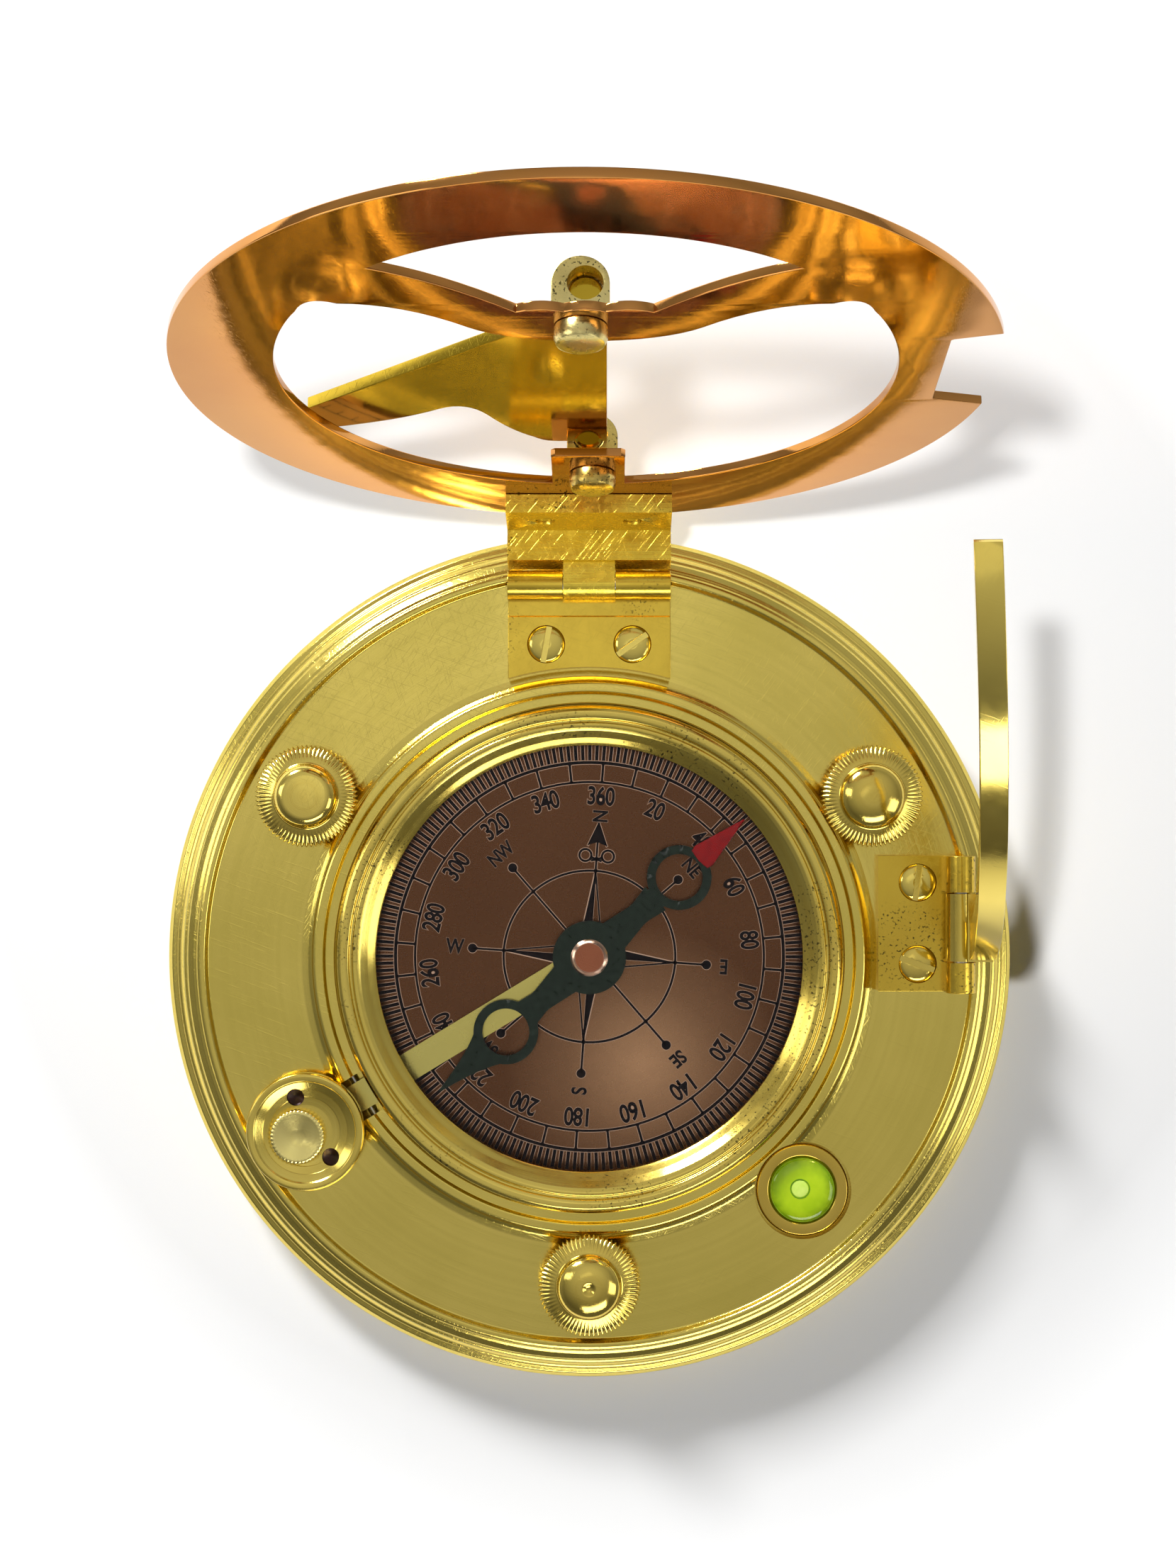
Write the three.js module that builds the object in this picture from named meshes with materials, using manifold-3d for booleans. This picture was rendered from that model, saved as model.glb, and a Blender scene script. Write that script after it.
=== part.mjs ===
// Folding sundial compass: a brass levelling base with a compass, a hinged hour ring with its
// gnomon, and a hinged latitude arc. Millimetres, +Z up, +Y towards the hour ring's hinge,
// +X towards the latitude arc. The origin is the middle of the base's flat underside.
import * as THREE from 'three';
import { mergeVertices } from 'three/addons/utils/BufferGeometryUtils.js';
import Module from 'manifold-3d';

const wasm = await Module();
wasm.setup();

// Clearances
const FIT = 0.3; // a loose piece in its pocket
const RUN = 0.1; // a turning or sliding fit, each side
const SEAT = 0.1; // between pieces that rest on each other on the tilted ring

// Base dish, radii from the middle and heights from its underside
const BASE_R = 55;
const RIM_WIDTH = 5.6;
const FLOOR_Z = 5.0;
const RIM_CREST = 0.6;
const CHANNEL_WIDTH = 13.6;
const WELL_FLOOR_Z = 1.5;
const LEDGE_WIDTH = 1.2;
const LEDGE_RISE = 0.4;
const PLINTH_WIDTH = 1.6;
const PLINTH_RISE = 0.9;
const FLOOR_COVE = 1.4;

// Compass
const CASE_FLOOR_T = 0.7;
const DIAL_T = 0.5;
const CASE_WALL = 4.3;
const GLASS_OVERLAP = 1.2;
const GLASS_T = 0.8;
const CASE_DEPTH = 3.5;
const BEZEL_LIP = 0.9;
const BEZEL_HEIGHT = 2.0;
const PIVOT_R = 0.8;
const NEEDLE_ANGLE = 41.7;
const NEEDLE_NORTH_GAP = 1.5;
const NEEDLE_SOUTH_GAP = 2.3;
const NEEDLE_T = 0.5;
const NEEDLE_RISE = 1.7;
const NEEDLE_HUB_R = 4.7;
const NEEDLE_BAR = 3.0;
const LOOP_R = 4.2;
const LOOP_WALL = 1.1;
const LOOP_NORTH_AT = 15.6;
const LOOP_SOUTH_AT = 14.5;
const CAP_R = 1.95;
const CAP_FLANGE = 0.4;

// Needle lifter and its lock
const LOCK_ANGLE = 211.3;
const LOCK_OUT = 6.9;
const LOCK_R = 7.55;
const LOCK_T = 2.1;
const LOCK_HUB_R = 5.2;
const LOCK_STEM_R = 1.7;
const LOCK_BOSS_R = 3.55;
const LOCK_BOSS_SHIFT = 1.1;
const LOCK_HOLE_R = 1.15;
const LOCK_HOLES_AT = 4.6;
const CAM_PIN_AT = 4.3;
const CAM_PIN_R = 0.8;
const ARM_WIDTH = 3.7;
const ARM_T = 0.7;
const ARM_RISE = 0.5;
const ARM_EYE_R = 3.0;
const ARM_OUTER_LAP = 0.8;
const ARM_SLOT_WIDTH = 5.7;
const FULCRUM_R = 0.5;

// Levelling screws
const LEVEL_ANGLES = [150, 30, 270];
const LEVEL_OUT = 6.1;
const KNOB_R = 6.6;
const KNOB_RIM_T = 2.2;
const KNOB_DOME = 1.4;
const KNOB_DROP = 0.9;
const LEVEL_SHANK_R = 2.0;
const FOOT_DROP = 3.0;

// Bubble level
const VIAL_ANGLE = -47.5;
const VIAL_OUT = 5.1;
const VIAL_R = 4.15;
const VIAL_CUP_WALL = 1.75;
const VIAL_DEPTH = 2.8;

// Hinges
const LEAF_T = 2.0;
const KNUCKLE_R = 1.9;
const HINGE_PIN_R = 0.8;
const SCREW_HEAD_R = 2.35;
const SCREW_HEAD_T = 1.0;
const SCREW_SHANK_R = 1.1;
const SCREW_LENGTH = 4.6;
const SCREW_SLOT = 0.8;

// Hour ring, measured along its plate from the hinge axis
const RING_OPEN = 103.8;
const RING_AXIS_IN = 7.0;
const RING_AXIS_LIFT = 0.4;
const RING_MARGIN = 9.1;
const RING_BAND = 11.5;
const RING_EDGE_GAP = 1.1;
const RING_T = 1.1;
const ringRISE = 9.0;
const RING_HINGE_HALF = 10.45;
const RING_MIDDLE_HALF = 3.3;
const RING_LEAF_REACH = 10.4;
const RING_SCREW_X = 5.55;
const RING_LEAF_SCREW_IN = 7.5;
const FLANGE_T = 2.5;
const FLANGE_TOP = 9.3;
const WEB_TOP = 2.7;
const WEB_BOTTOM = -1.0;
const WEB_DEPTH = 4.0;
const FLANGE_SCREW_V = 6.1;
const NOTCH_DEPTH = 6.6;
const NOTCH_MIDDLE = 1.0;
const NOTCH_HALF = 8.0;
const NOTCH_FLARE = 1.9;
const LUG_HALF = 4.5;
const LUG_REACH = 9.6;
const BAR_V = 12.5;
const BAR_HALF = 3.9;

// Gnomon and its posts
const POST_HALF = 3.1;
const POST_DEPTH = 6.0;
const POST_PIVOT_RISE = 2.6;
const POST_SHIFT = 0.5;
const POST_LOWER_IN = 3.6;
const POST_TAIL_R = 2.3;
const POST_RIVET_R = 2.85;
const POST_RIVET_DROP = 2.3;
const TRUNNION_R = 1.85;
const TRUNNION_LENGTH = 4.0;
const GNOMON_T = 1.5;
const GNOMON_HEEL = 2.3;

// Latitude arc
const ARC_LEAN = 7.5;
const ARC_AXIS_IN = 7.5;
const ARC_WIDTH = 4.8;
const ARC_T = 3.2;
const ARC_OFFSET = 0.9;
const ARC_SWEEP = 91.5;
const ARC_LEAF_REACH = 10.3;
const ARC_LEAF_LOW_Y = -4.2;
const ARC_KNUCKLE_LOW_Y = -0.2;
const ARC_KNUCKLE_HIGH_Y = 8.6;
const ARC_LEAF_HIGH_Y = 13.3;
const ARC_SCREW_IN = 5.2;

// Sizes that follow from the ones above
const RAD = Math.PI / 180;
const floorOuterR = BASE_R - RIM_WIDTH;
const rimCrestZ = FLOOR_Z + RIM_CREST;
const plinthR = floorOuterR - CHANNEL_WIDTH;
const plinthTopZ = FLOOR_Z + PLINTH_RISE;
const wellR = plinthR - PLINTH_WIDTH - LEDGE_WIDTH;
const caseR = wellR - FIT;
const dialShownR = caseR - CASE_WALL;
const lockAt = plinthR + LOCK_OUT;
const levelAt = plinthR + LEVEL_OUT;
const vialAt = plinthR + VIAL_OUT;
const dialZ = WELL_FLOOR_Z + CASE_FLOOR_T;
const dialTopZ = dialZ + DIAL_T;
const glassZ = dialZ + CASE_DEPTH;
const glassTopZ = glassZ + GLASS_T;
const glassSeatR = dialShownR + GLASS_OVERLAP + FIT;
const bezelInnerR = dialShownR - BEZEL_LIP;
const needleNorth = dialShownR - NEEDLE_NORTH_GAP;
const needleSouth = dialShownR - NEEDLE_SOUTH_GAP;
const needleZ = dialTopZ + NEEDLE_RISE;
const armZ = dialTopZ + ARM_RISE;
const armTopZ = armZ + ARM_T;
const fulcrumAt = plinthR - 1.2;
const fulcrumZ = armZ - FULCRUM_R - RUN / 2;
const fulcrumHalf = ARM_SLOT_WIDTH / 2 + 1.2;
const armOuterR = lockAt - CAM_PIN_AT + ARM_OUTER_LAP;
const vialCupR = VIAL_R + RUN + VIAL_CUP_WALL;
const vialZ = FLOOR_Z - VIAL_DEPTH;
const leafTopZ = FLOOR_Z + LEAF_T;
const ringAxisZ = rimCrestZ + RING_AXIS_LIFT + KNUCKLE_R;
const ringAxisY = BASE_R - RING_AXIS_IN;
const ringR = BASE_R - RING_MARGIN;
const ringInnerR = ringR - RING_BAND;
const ringCentreV = ringR + RING_EDGE_GAP;
const postLowerV = POST_LOWER_IN - ringInnerR;
const ringTilt = (180 - RING_OPEN) * RAD;
const pivotRise = RING_T + POST_PIVOT_RISE;
const postUpperFootV = BAR_V - POST_DEPTH / 2;
const postLowerTopV = postLowerV + POST_DEPTH / 2;
const arcAxisX = BASE_R - ARC_AXIS_IN;
const arcR = ringAxisY;
const arcAxisZ = ringAxisZ + KNUCKLE_R + FIT - ARC_OFFSET;
const knobZ = plinthTopZ + KNOB_DROP + 2 * RUN;

// Materials
const metal = (color, roughness) => new THREE.MeshStandardMaterial({ color, roughness, metalness: 1 });
const SATIN_BRASS = metal(0xbfa850, 0.34);
const BRIGHT_BRASS = metal(0xd2b74e, 0.2);
const HINGE_BRASS = metal(0xb79c3c, 0.3);
const RING_COPPER = metal(0xc57b42, 0.12);
const DIAL_COPPER = metal(0x7a5240, 0.38);
const CAP_COPPER = metal(0x94492c, 0.35);
const STEEL = metal(0x8e8e8a, 0.35);
const NEEDLE_BLACK = new THREE.MeshStandardMaterial({ color: 0x18201c, roughness: 0.45, metalness: 0.2 });
const CLEAR_GLASS = new THREE.MeshStandardMaterial({
  color: 0xffffff, roughness: 0.04, metalness: 0, transparent: true, opacity: 0.25,
});
const GREEN_VIAL = new THREE.MeshStandardMaterial({
  color: 0xa8d400, roughness: 0.1, metalness: 0, transparent: true, opacity: 0.8,
});

// Turns a three.js geometry into one closed body with shared corners and faces pointing out
function closed(source) {
  const bare = source.clone();
  bare.deleteAttribute('normal');
  bare.deleteAttribute('uv');
  const merged = mergeVertices(bare, 1e-4);
  const place = merged.attributes.position;
  const corners = merged.index.array;
  const kept = [];
  let volume = 0;
  const a = new THREE.Vector3();
  const b = new THREE.Vector3();
  const c = new THREE.Vector3();
  for (let i = 0; i < corners.length; i += 3) {
    const [p, q, r] = [corners[i], corners[i + 1], corners[i + 2]];
    if (p === q || q === r || r === p) continue;
    kept.push(p, q, r);
    a.fromBufferAttribute(place, p);
    b.fromBufferAttribute(place, q);
    c.fromBufferAttribute(place, r);
    volume += a.dot(b.cross(c));
  }
  if (volume < 0) kept.reverse();
  merged.setIndex(kept);
  return merged;
}

function toSolid(geometry) {
  const body = closed(geometry);
  return new wasm.Manifold(new wasm.Mesh({
    numProp: 3,
    vertProperties: Float32Array.from(body.attributes.position.array),
    triVerts: Uint32Array.from(body.index.array),
  }));
}

function fromSolid(solid) {
  const { vertProperties, triVerts } = solid.getMesh();
  const geometry = new THREE.BufferGeometry();
  geometry.setAttribute('position', new THREE.BufferAttribute(vertProperties, 3));
  geometry.setIndex(new THREE.BufferAttribute(triVerts, 1));
  return geometry;
}

const join = (...parts) => fromSolid(parts.map(toSolid).reduce((all, one) => all.add(one)));
const carve = (body, ...tools) => fromSolid(
  tools.map(toSolid).reduce((all, one) => all.subtract(one), toSolid(body)));
const common = (one, other) => fromSolid(toSolid(one).intersect(toSolid(other)));

// Solid of revolution about Z from [radius, height] pairs
function turned(profile, segments = 48) {
  const points = profile.map(([r, z]) => new THREE.Vector2(r, z));
  return new THREE.LatheGeometry(points, segments).rotateX(Math.PI / 2);
}

const rod = (r, z0, z1, segments = 24) => turned([[0, z0], [r, z0], [r, z1], [0, z1]], segments);

const washer = (inner, outer, z0, z1, segments = 48) => turned(
  [[inner, z0], [outer, z0], [outer, z1], [inner, z1], [inner, z0]], segments);

const block = (x0, x1, y0, y1, z0, z1) => new THREE.BoxGeometry(x1 - x0, y1 - y0, z1 - z0)
  .translate((x0 + x1) / 2, (y0 + y1) / 2, (z0 + z1) / 2);

const plate = (shape, z0, z1, curveSegments = 6) => new THREE.ExtrudeGeometry(
  shape, { depth: z1 - z0, bevelEnabled: false, curveSegments }).translate(0, 0, z0);

const outline = (points) => new THREE.Shape(points.map(([x, y]) => new THREE.Vector2(x, y)));

// Puts a shape drawn in the plane of Y and Z at its place, with its thickness along X
const acrossX = (geometry) => geometry.applyMatrix4(new THREE.Matrix4().makeBasis(
  new THREE.Vector3(0, 1, 0), new THREE.Vector3(0, 0, 1), new THREE.Vector3(1, 0, 0)));

// Puts a shape drawn in the plane of X and Z at its place, with its thickness along -Y
const acrossY = (geometry) => geometry.applyMatrix4(new THREE.Matrix4().makeBasis(
  new THREE.Vector3(1, 0, 0), new THREE.Vector3(0, 0, 1), new THREE.Vector3(0, -1, 0)));

const rodX = (r, x0, x1, y, z, segments = 20) => rod(r, x0, x1, segments)
  .rotateY(Math.PI / 2).translate(0, y, z);

const rodY = (r, y0, y1, x, z, segments = 20) => rod(r, -y1, -y0, segments)
  .rotateX(Math.PI / 2).translate(x, 0, z);

const onCircle = (r, degrees) => [r * Math.cos(degrees * RAD), r * Math.sin(degrees * RAD)];

const placeAt = (geometry, r, degrees) => {
  const [x, y] = onCircle(r, degrees);
  return geometry.translate(x, y, 0);
};

// A disc whose edge is cut into fine teeth
function toothed(r, tooth, teeth, z0, z1) {
  const points = [];
  for (let i = 0; i < teeth * 2; i += 1) {
    points.push(onCircle(i % 2 ? r - tooth : r, (i * 180) / teeth));
  }
  return plate(outline(points), z0, z1);
}

const sundial = new THREE.Group();

function add(group, name, geometry, material) {
  const mesh = new THREE.Mesh(closed(geometry), material);
  mesh.name = name;
  mesh.geometry.computeVertexNormals();
  group.add(mesh);
  return mesh;
}

// Slotted screw, head downwards from its top face at the given height
function slottedScrew(topZ, length = SCREW_LENGTH, shankR = SCREW_SHANK_R) {
  const body = turned([
    [0, topZ - length], [shankR, topZ - length], [shankR, topZ - SCREW_HEAD_T],
    [SCREW_HEAD_R, topZ - SCREW_HEAD_T], [SCREW_HEAD_R, topZ - 0.15], [SCREW_HEAD_R - 0.3, topZ],
    [0, topZ],
  ], 16);
  const slot = block(-SCREW_HEAD_R - 1, SCREW_HEAD_R + 1, -SCREW_SLOT / 2, SCREW_SLOT / 2,
    topZ - 0.45, topZ + 1);
  return carve(body, slot);
}

const screwHole = (topZ, bottomZ) => turned([
  [0, bottomZ], [SCREW_SHANK_R + RUN, bottomZ], [SCREW_SHANK_R + RUN, topZ - SCREW_HEAD_T - RUN],
  [SCREW_HEAD_R + RUN, topZ - SCREW_HEAD_T - RUN], [SCREW_HEAD_R + RUN, topZ + 1], [0, topZ + 1],
], 16);

// Base dish: turned mouldings, three screw holes, the arm's slot, and pockets for what it carries
const caseScrewAt = caseR * 0.6;
const ringScrewXs = [-RING_SCREW_X, RING_SCREW_X];
const leafScrewY = ringAxisY - RING_LEAF_SCREW_IN;
const arcScrewX = arcAxisX - ARC_SCREW_IN;
const arcScrewYs = [ARC_LEAF_LOW_Y + 3.5, ARC_LEAF_HIGH_Y - 3.5];
const slotEnd = armOuterR + 2 * FIT;
const slotFloorZ = armZ - 2 * FULCRUM_R - FIT;

function baseDish() {
  const dish = turned([
    [0, 0], [BASE_R - 0.8, 0], [BASE_R, 0.8], [BASE_R, 1.9], [BASE_R - 0.6, 2.6],
    [BASE_R - 1.5, 2.9], [BASE_R - 1.9, 3.6], [BASE_R - 2.6, 4.4], [BASE_R - 3.6, 5.0],
    [BASE_R - 4.4, rimCrestZ], [BASE_R - 5.0, rimCrestZ], [floorOuterR, FLOOR_Z],
    [plinthR + FLOOR_COVE, FLOOR_Z], [plinthR + FLOOR_COVE * 0.4, FLOOR_Z + 0.15],
    [plinthR, FLOOR_Z + 0.5], [plinthR, plinthTopZ - 0.2], [plinthR - 0.2, plinthTopZ],
    [plinthR - PLINTH_WIDTH, plinthTopZ], [plinthR - PLINTH_WIDTH, FLOOR_Z + LEDGE_RISE],
    [wellR, FLOOR_Z + LEDGE_RISE], [wellR, WELL_FLOOR_Z], [0, WELL_FLOOR_Z],
  ], 64);
  const slot = block(wellR - 2, slotEnd, -ARM_SLOT_WIDTH / 2, ARM_SLOT_WIDTH / 2, slotFloorZ, 12);
  const fulcrum = rodY(FULCRUM_R + RUN / 2, -fulcrumHalf - RUN, fulcrumHalf + RUN, fulcrumAt, fulcrumZ, 16);
  const trackHalf = CAM_PIN_R + 2 * RUN;
  const camTrack = washer(CAM_PIN_AT - trackHalf, CAM_PIN_AT + trackHalf, armTopZ - 0.4, FLOOR_Z + 1, 32)
    .translate(lockAt, 0, 0);
  const stemHole = rod(LOCK_STEM_R + RUN, -1, FLOOR_Z + 1).translate(lockAt, 0, 0);
  const nutPocket = rod(LOCK_STEM_R + 1.7, -1, 1.2).translate(lockAt, 0, 0);
  const lockCuts = [slot, fulcrum, camTrack, stemHole, nutPocket];
  lockCuts.forEach((tool) => tool.rotateZ(LOCK_ANGLE * RAD));
  const levelHoles = LEVEL_ANGLES.map((angle) => placeAt(rod(LEVEL_SHANK_R + RUN, -1, 8), levelAt, angle));
  const vialPocket = placeAt(rod(vialCupR + FIT, vialZ, 9, 32), vialAt, VIAL_ANGLE);
  const tapping = () => rod(SCREW_SHANK_R + RUN, leafTopZ - SCREW_LENGTH - RUN, 9, 16);
  const leafHoles = ringScrewXs.map((x) => tapping().translate(x, leafScrewY, 0));
  const arcHoles = arcScrewYs.map((y) => tapping().translate(arcScrewX, y, 0));
  const caseHoles = [90, 210, 330].map((angle) => placeAt(turned([
    [0, -1], [2.1, -1], [2.1, 0.9], [1.0, 0.9], [1.0, 3], [0, 3],
  ], 16), caseScrewAt, angle));
  return carve(dish, ...lockCuts, ...levelHoles, vialPocket, ...leafHoles, ...arcHoles, ...caseHoles);
}

// Compass case: a turned cup with a ledge for the glass and a slot for the lifter arm
function compassCase() {
  const cup = turned([
    [0, WELL_FLOOR_Z], [caseR, WELL_FLOOR_Z], [caseR, glassTopZ], [glassSeatR, glassTopZ],
    [glassSeatR, glassZ], [dialShownR, glassZ], [dialShownR, dialZ], [0, dialZ],
  ], 56);
  const slot = block(dialShownR - 4, caseR + 3, -ARM_SLOT_WIDTH / 2, ARM_SLOT_WIDTH / 2,
    armZ - 0.3, armTopZ + 0.7).rotateZ(LOCK_ANGLE * RAD);
  const holes = [90, 210, 330].map((angle) => placeAt(rod(1.0, 1, 3, 16), caseScrewAt, angle));
  return carve(cup, slot, ...holes);
}

const caseScrew = () => turned([
  [0, 0.1], [1.9, 0.1], [1.9, 0.8], [0.9, 0.8], [0.9, dialZ - RUN], [0, dialZ - RUN],
], 16);

const dialCard = () => washer(PIVOT_R + RUN, dialShownR - 0.2, dialZ, dialTopZ, 56);

const needlePivot = () => turned([
  [0, dialZ], [PIVOT_R, dialZ], [PIVOT_R, dialTopZ + 0.7], [0.45, dialTopZ + 0.9], [0.12, needleZ + 0.25],
  [0, needleZ + 0.3],
], 16);

const glass = () => rod(dialShownR + GLASS_OVERLAP, glassZ, glassTopZ, 56);

function bezel() {
  const top = glassTopZ + BEZEL_HEIGHT;
  return turned([
    [bezelInnerR, glassTopZ], [caseR, glassTopZ], [caseR, top - 0.9], [caseR - 0.4, top - 0.2],
    [caseR - 0.8, top], [caseR - 1.9, top - 0.15], [caseR - 2.1, top - 0.5], [caseR - 2.4, top - 0.3],
    [caseR - 3.2, top - 0.45], [bezelInnerR + 1.1, top - 1.3], [bezelInnerR, top - 1.8],
    [bezelInnerR, glassTopZ],
  ], 64);
}

// Needle: a flat bar with a hub, two open loops, a tapered north point and a tapered tail
function needle() {
  const top = needleZ + NEEDLE_T;
  const half = NEEDLE_BAR / 2;
  const hub = rod(NEEDLE_HUB_R, needleZ, top, 24);
  const bar = block(-LOOP_SOUTH_AT, LOOP_NORTH_AT, -half, half, needleZ, top);
  const north = rod(LOOP_R, needleZ, top, 24).translate(LOOP_NORTH_AT, 0, 0);
  const south = rod(LOOP_R, needleZ, top, 24).translate(-LOOP_SOUTH_AT, 0, 0);
  const point = plate(outline([
    [LOOP_NORTH_AT + LOOP_R - 0.8, -1.7], [needleNorth, 0], [LOOP_NORTH_AT + LOOP_R - 0.8, 1.7],
  ]), needleZ, top);
  const tail = plate(outline([
    [-LOOP_SOUTH_AT - LOOP_R + 1.6, -2.8], [-LOOP_SOUTH_AT - LOOP_R + 1.6, 2.8],
    [-LOOP_SOUTH_AT - LOOP_R - 1.6, 1.2], [-needleSouth, 0], [-LOOP_SOUTH_AT - LOOP_R - 1.6, -1.2],
  ]), needleZ, top);
  const body = join(hub, bar, north, south, point, tail);
  const hole = (x, r) => rod(r, needleZ - 1, top + 1).translate(x, 0, 0);
  return carve(body, hole(LOOP_NORTH_AT, LOOP_R - LOOP_WALL), hole(-LOOP_SOUTH_AT, LOOP_R - LOOP_WALL),
    hole(0, CAP_R + RUN / 2)).rotateZ(NEEDLE_ANGLE * RAD);
}

// Needle cap: it fills the hub's hole, with a flange above and a hollow cone for the pivot's point
const needleCap = () => turned([
  [0, needleZ + 0.45], [0.9, needleZ], [CAP_R, needleZ], [CAP_R, needleZ + NEEDLE_T],
  [CAP_R + CAP_FLANGE, needleZ + NEEDLE_T], [CAP_R + CAP_FLANGE, needleZ + NEEDLE_T + 0.35],
  [CAP_R, needleZ + NEEDLE_T + 0.55], [0, needleZ + NEEDLE_T + 0.6],
], 24);

// Lifter arm: a flat bar over its fulcrum pin, with an eye round the needle's pivot
function lifterArm() {
  const half = ARM_WIDTH / 2;
  const bar = block(ARM_EYE_R - 0.8, armOuterR, -half, half, armZ, armTopZ);
  const eye = rod(ARM_EYE_R, armZ, armTopZ);
  const bore = rod(PIVOT_R + 0.7, armZ - 1, armTopZ + 1);
  return carve(join(bar, eye), bore).rotateZ(LOCK_ANGLE * RAD);
}

const fulcrumPin = () => rodY(FULCRUM_R, -fulcrumHalf, fulcrumHalf, fulcrumAt, fulcrumZ, 16)
  .rotateZ(LOCK_ANGLE * RAD);

// Lock disc: dished thumb disc with two spanner holes, a stem through the base and a cam pin
const lockDiscZ = plinthTopZ + FIT;
const lockDishZ = lockDiscZ + LOCK_T - 1.0;
const [lockX, lockY] = onCircle(lockAt, LOCK_ANGLE);

function lockDisc() {
  const top = lockDiscZ + LOCK_T;
  const body = turned([
    [0, 0.4], [LOCK_STEM_R, 0.4], [LOCK_STEM_R, FLOOR_Z + RUN / 2], [LOCK_HUB_R, FLOOR_Z + RUN / 2],
    [LOCK_HUB_R, lockDiscZ], [LOCK_R - 0.3, lockDiscZ], [LOCK_R, lockDiscZ + 0.3], [LOCK_R, top - 0.3],
    [LOCK_R - 0.3, top], [LOCK_R - 0.6, top], [LOCK_HUB_R - 0.3, lockDishZ], [0, lockDishZ],
  ], 40);
  const camRest = LOCK_ANGLE + 90;
  const camPin = placeAt(rod(CAM_PIN_R, armTopZ - 0.02, FLOOR_Z + 0.5, 16), CAM_PIN_AT, camRest);
  const blindHole = () => rod(LOCK_HOLE_R, lockDishZ - 1, top + 1, 20);
  const holes = [106, -45].map((angle) => placeAt(blindHole(), LOCK_HOLES_AT, angle));
  return carve(join(body, camPin), ...holes).translate(lockX, lockY, 0);
}

function lockBoss() {
  const boss = toothed(LOCK_BOSS_R, 0.2, 22, lockDishZ, lockDishZ + 1.5);
  const bevel = turned([
    [0, lockDishZ], [LOCK_BOSS_R + 0.1, lockDishZ], [LOCK_BOSS_R + 0.1, lockDishZ + 0.9],
    [LOCK_BOSS_R - 0.5, lockDishZ + 1.3], [0, lockDishZ + 1.4],
  ], 44);
  const [x, y] = onCircle(LOCK_BOSS_SHIFT, LOCK_ANGLE);
  return common(boss, bevel).translate(lockX + x, lockY + y, 0);
}

const lockNut = () => carve(rod(LOCK_STEM_R + 1.4, 0.1, 1.1, 6), rod(LOCK_STEM_R + RUN, -1, 2))
  .translate(lockX, lockY, 0);

// Levelling screws: a shank with a blunt foot, and a knob with a sloped rim and a domed top
const shankTopZ = knobZ + KNOB_RIM_T - 0.9;
const levelShank = () => turned([
  [0, -FOOT_DROP], [LEVEL_SHANK_R - 0.6, -FOOT_DROP], [LEVEL_SHANK_R, -FOOT_DROP + 0.6],
  [LEVEL_SHANK_R, shankTopZ], [0, shankTopZ],
], 24);

function levelKnob() {
  const rimTop = knobZ + KNOB_RIM_T;
  const domeTop = rimTop + KNOB_DOME;
  return turned([
    [LEVEL_SHANK_R + RUN, knobZ], [KNOB_R - 0.3, knobZ], [KNOB_R, knobZ + 0.3], [KNOB_R, rimTop - 1.2],
    [KNOB_R - 1.5, rimTop], [KNOB_R - 2.6, rimTop + 0.75], [KNOB_R - 3.9, domeTop], [0.85, domeTop],
    [0, domeTop - 0.4], [0, shankTopZ + RUN], [LEVEL_SHANK_R + RUN, shankTopZ + RUN],
    [LEVEL_SHANK_R + RUN, knobZ],
  ], 36);
}

// Bubble level: a cup in its pocket and a sealed vial with a domed window
const vialCup = () => turned([
  [0, vialZ], [vialCupR, vialZ], [vialCupR, FLOOR_Z - 0.4], [VIAL_R + RUN, FLOOR_Z - 0.4],
  [VIAL_R + RUN, vialZ + 0.8], [0, vialZ + 0.8],
], 32);

const levelVial = () => turned([
  [0, vialZ + 0.8], [VIAL_R, vialZ + 0.8], [VIAL_R, FLOOR_Z - 0.3], [VIAL_R - 0.5, FLOOR_Z],
  [VIAL_R * 0.5, FLOOR_Z + 0.2], [0, FLOOR_Z + 0.25],
], 32);

// Hour ring's lower leaf: hollowed to the compass, with two knuckles on the hinge axis
function ringHingeLeaf() {
  const innerY = ringAxisY - RING_LEAF_REACH;
  const shape = new THREE.Shape();
  shape.moveTo(innerY - 2, FLOOR_Z);
  shape.lineTo(ringAxisY - 1.5, FLOOR_Z);
  shape.lineTo(ringAxisY, ringAxisZ - KNUCKLE_R);
  shape.absarc(ringAxisY, ringAxisZ, KNUCKLE_R, -Math.PI / 2, Math.PI, false);
  shape.lineTo(ringAxisY - KNUCKLE_R, leafTopZ - 0.4);
  shape.lineTo(ringAxisY - KNUCKLE_R - 1.9, leafTopZ - 0.4);
  shape.lineTo(ringAxisY - KNUCKLE_R - 2.1, leafTopZ);
  shape.lineTo(innerY - 2, leafTopZ);
  const leaf = acrossX(plate(shape, -RING_HINGE_HALF, RING_HINGE_HALF, 10));
  const hollow = rod(innerY, 0, 20, 80);
  const reach = KNUCKLE_R + FIT;
  const gap = block(-RING_MIDDLE_HALF - RUN, RING_MIDDLE_HALF + RUN,
    ringAxisY - reach, ringAxisY + reach, ringAxisZ - reach, 20);
  const bore = rodX(HINGE_PIN_R + RUN, -20, 20, ringAxisY, ringAxisZ);
  const holes = ringScrewXs.map((x) => screwHole(leafTopZ, 0).translate(x, leafScrewY, 0));
  return carve(leaf, hollow, gap, bore, ...holes);
}

const ringPinHalf = RING_HINGE_HALF - RUN;
const ringHingePin = () => rodX(HINGE_PIN_R, -ringPinHalf, ringPinHalf, ringAxisY, ringAxisZ);

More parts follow.
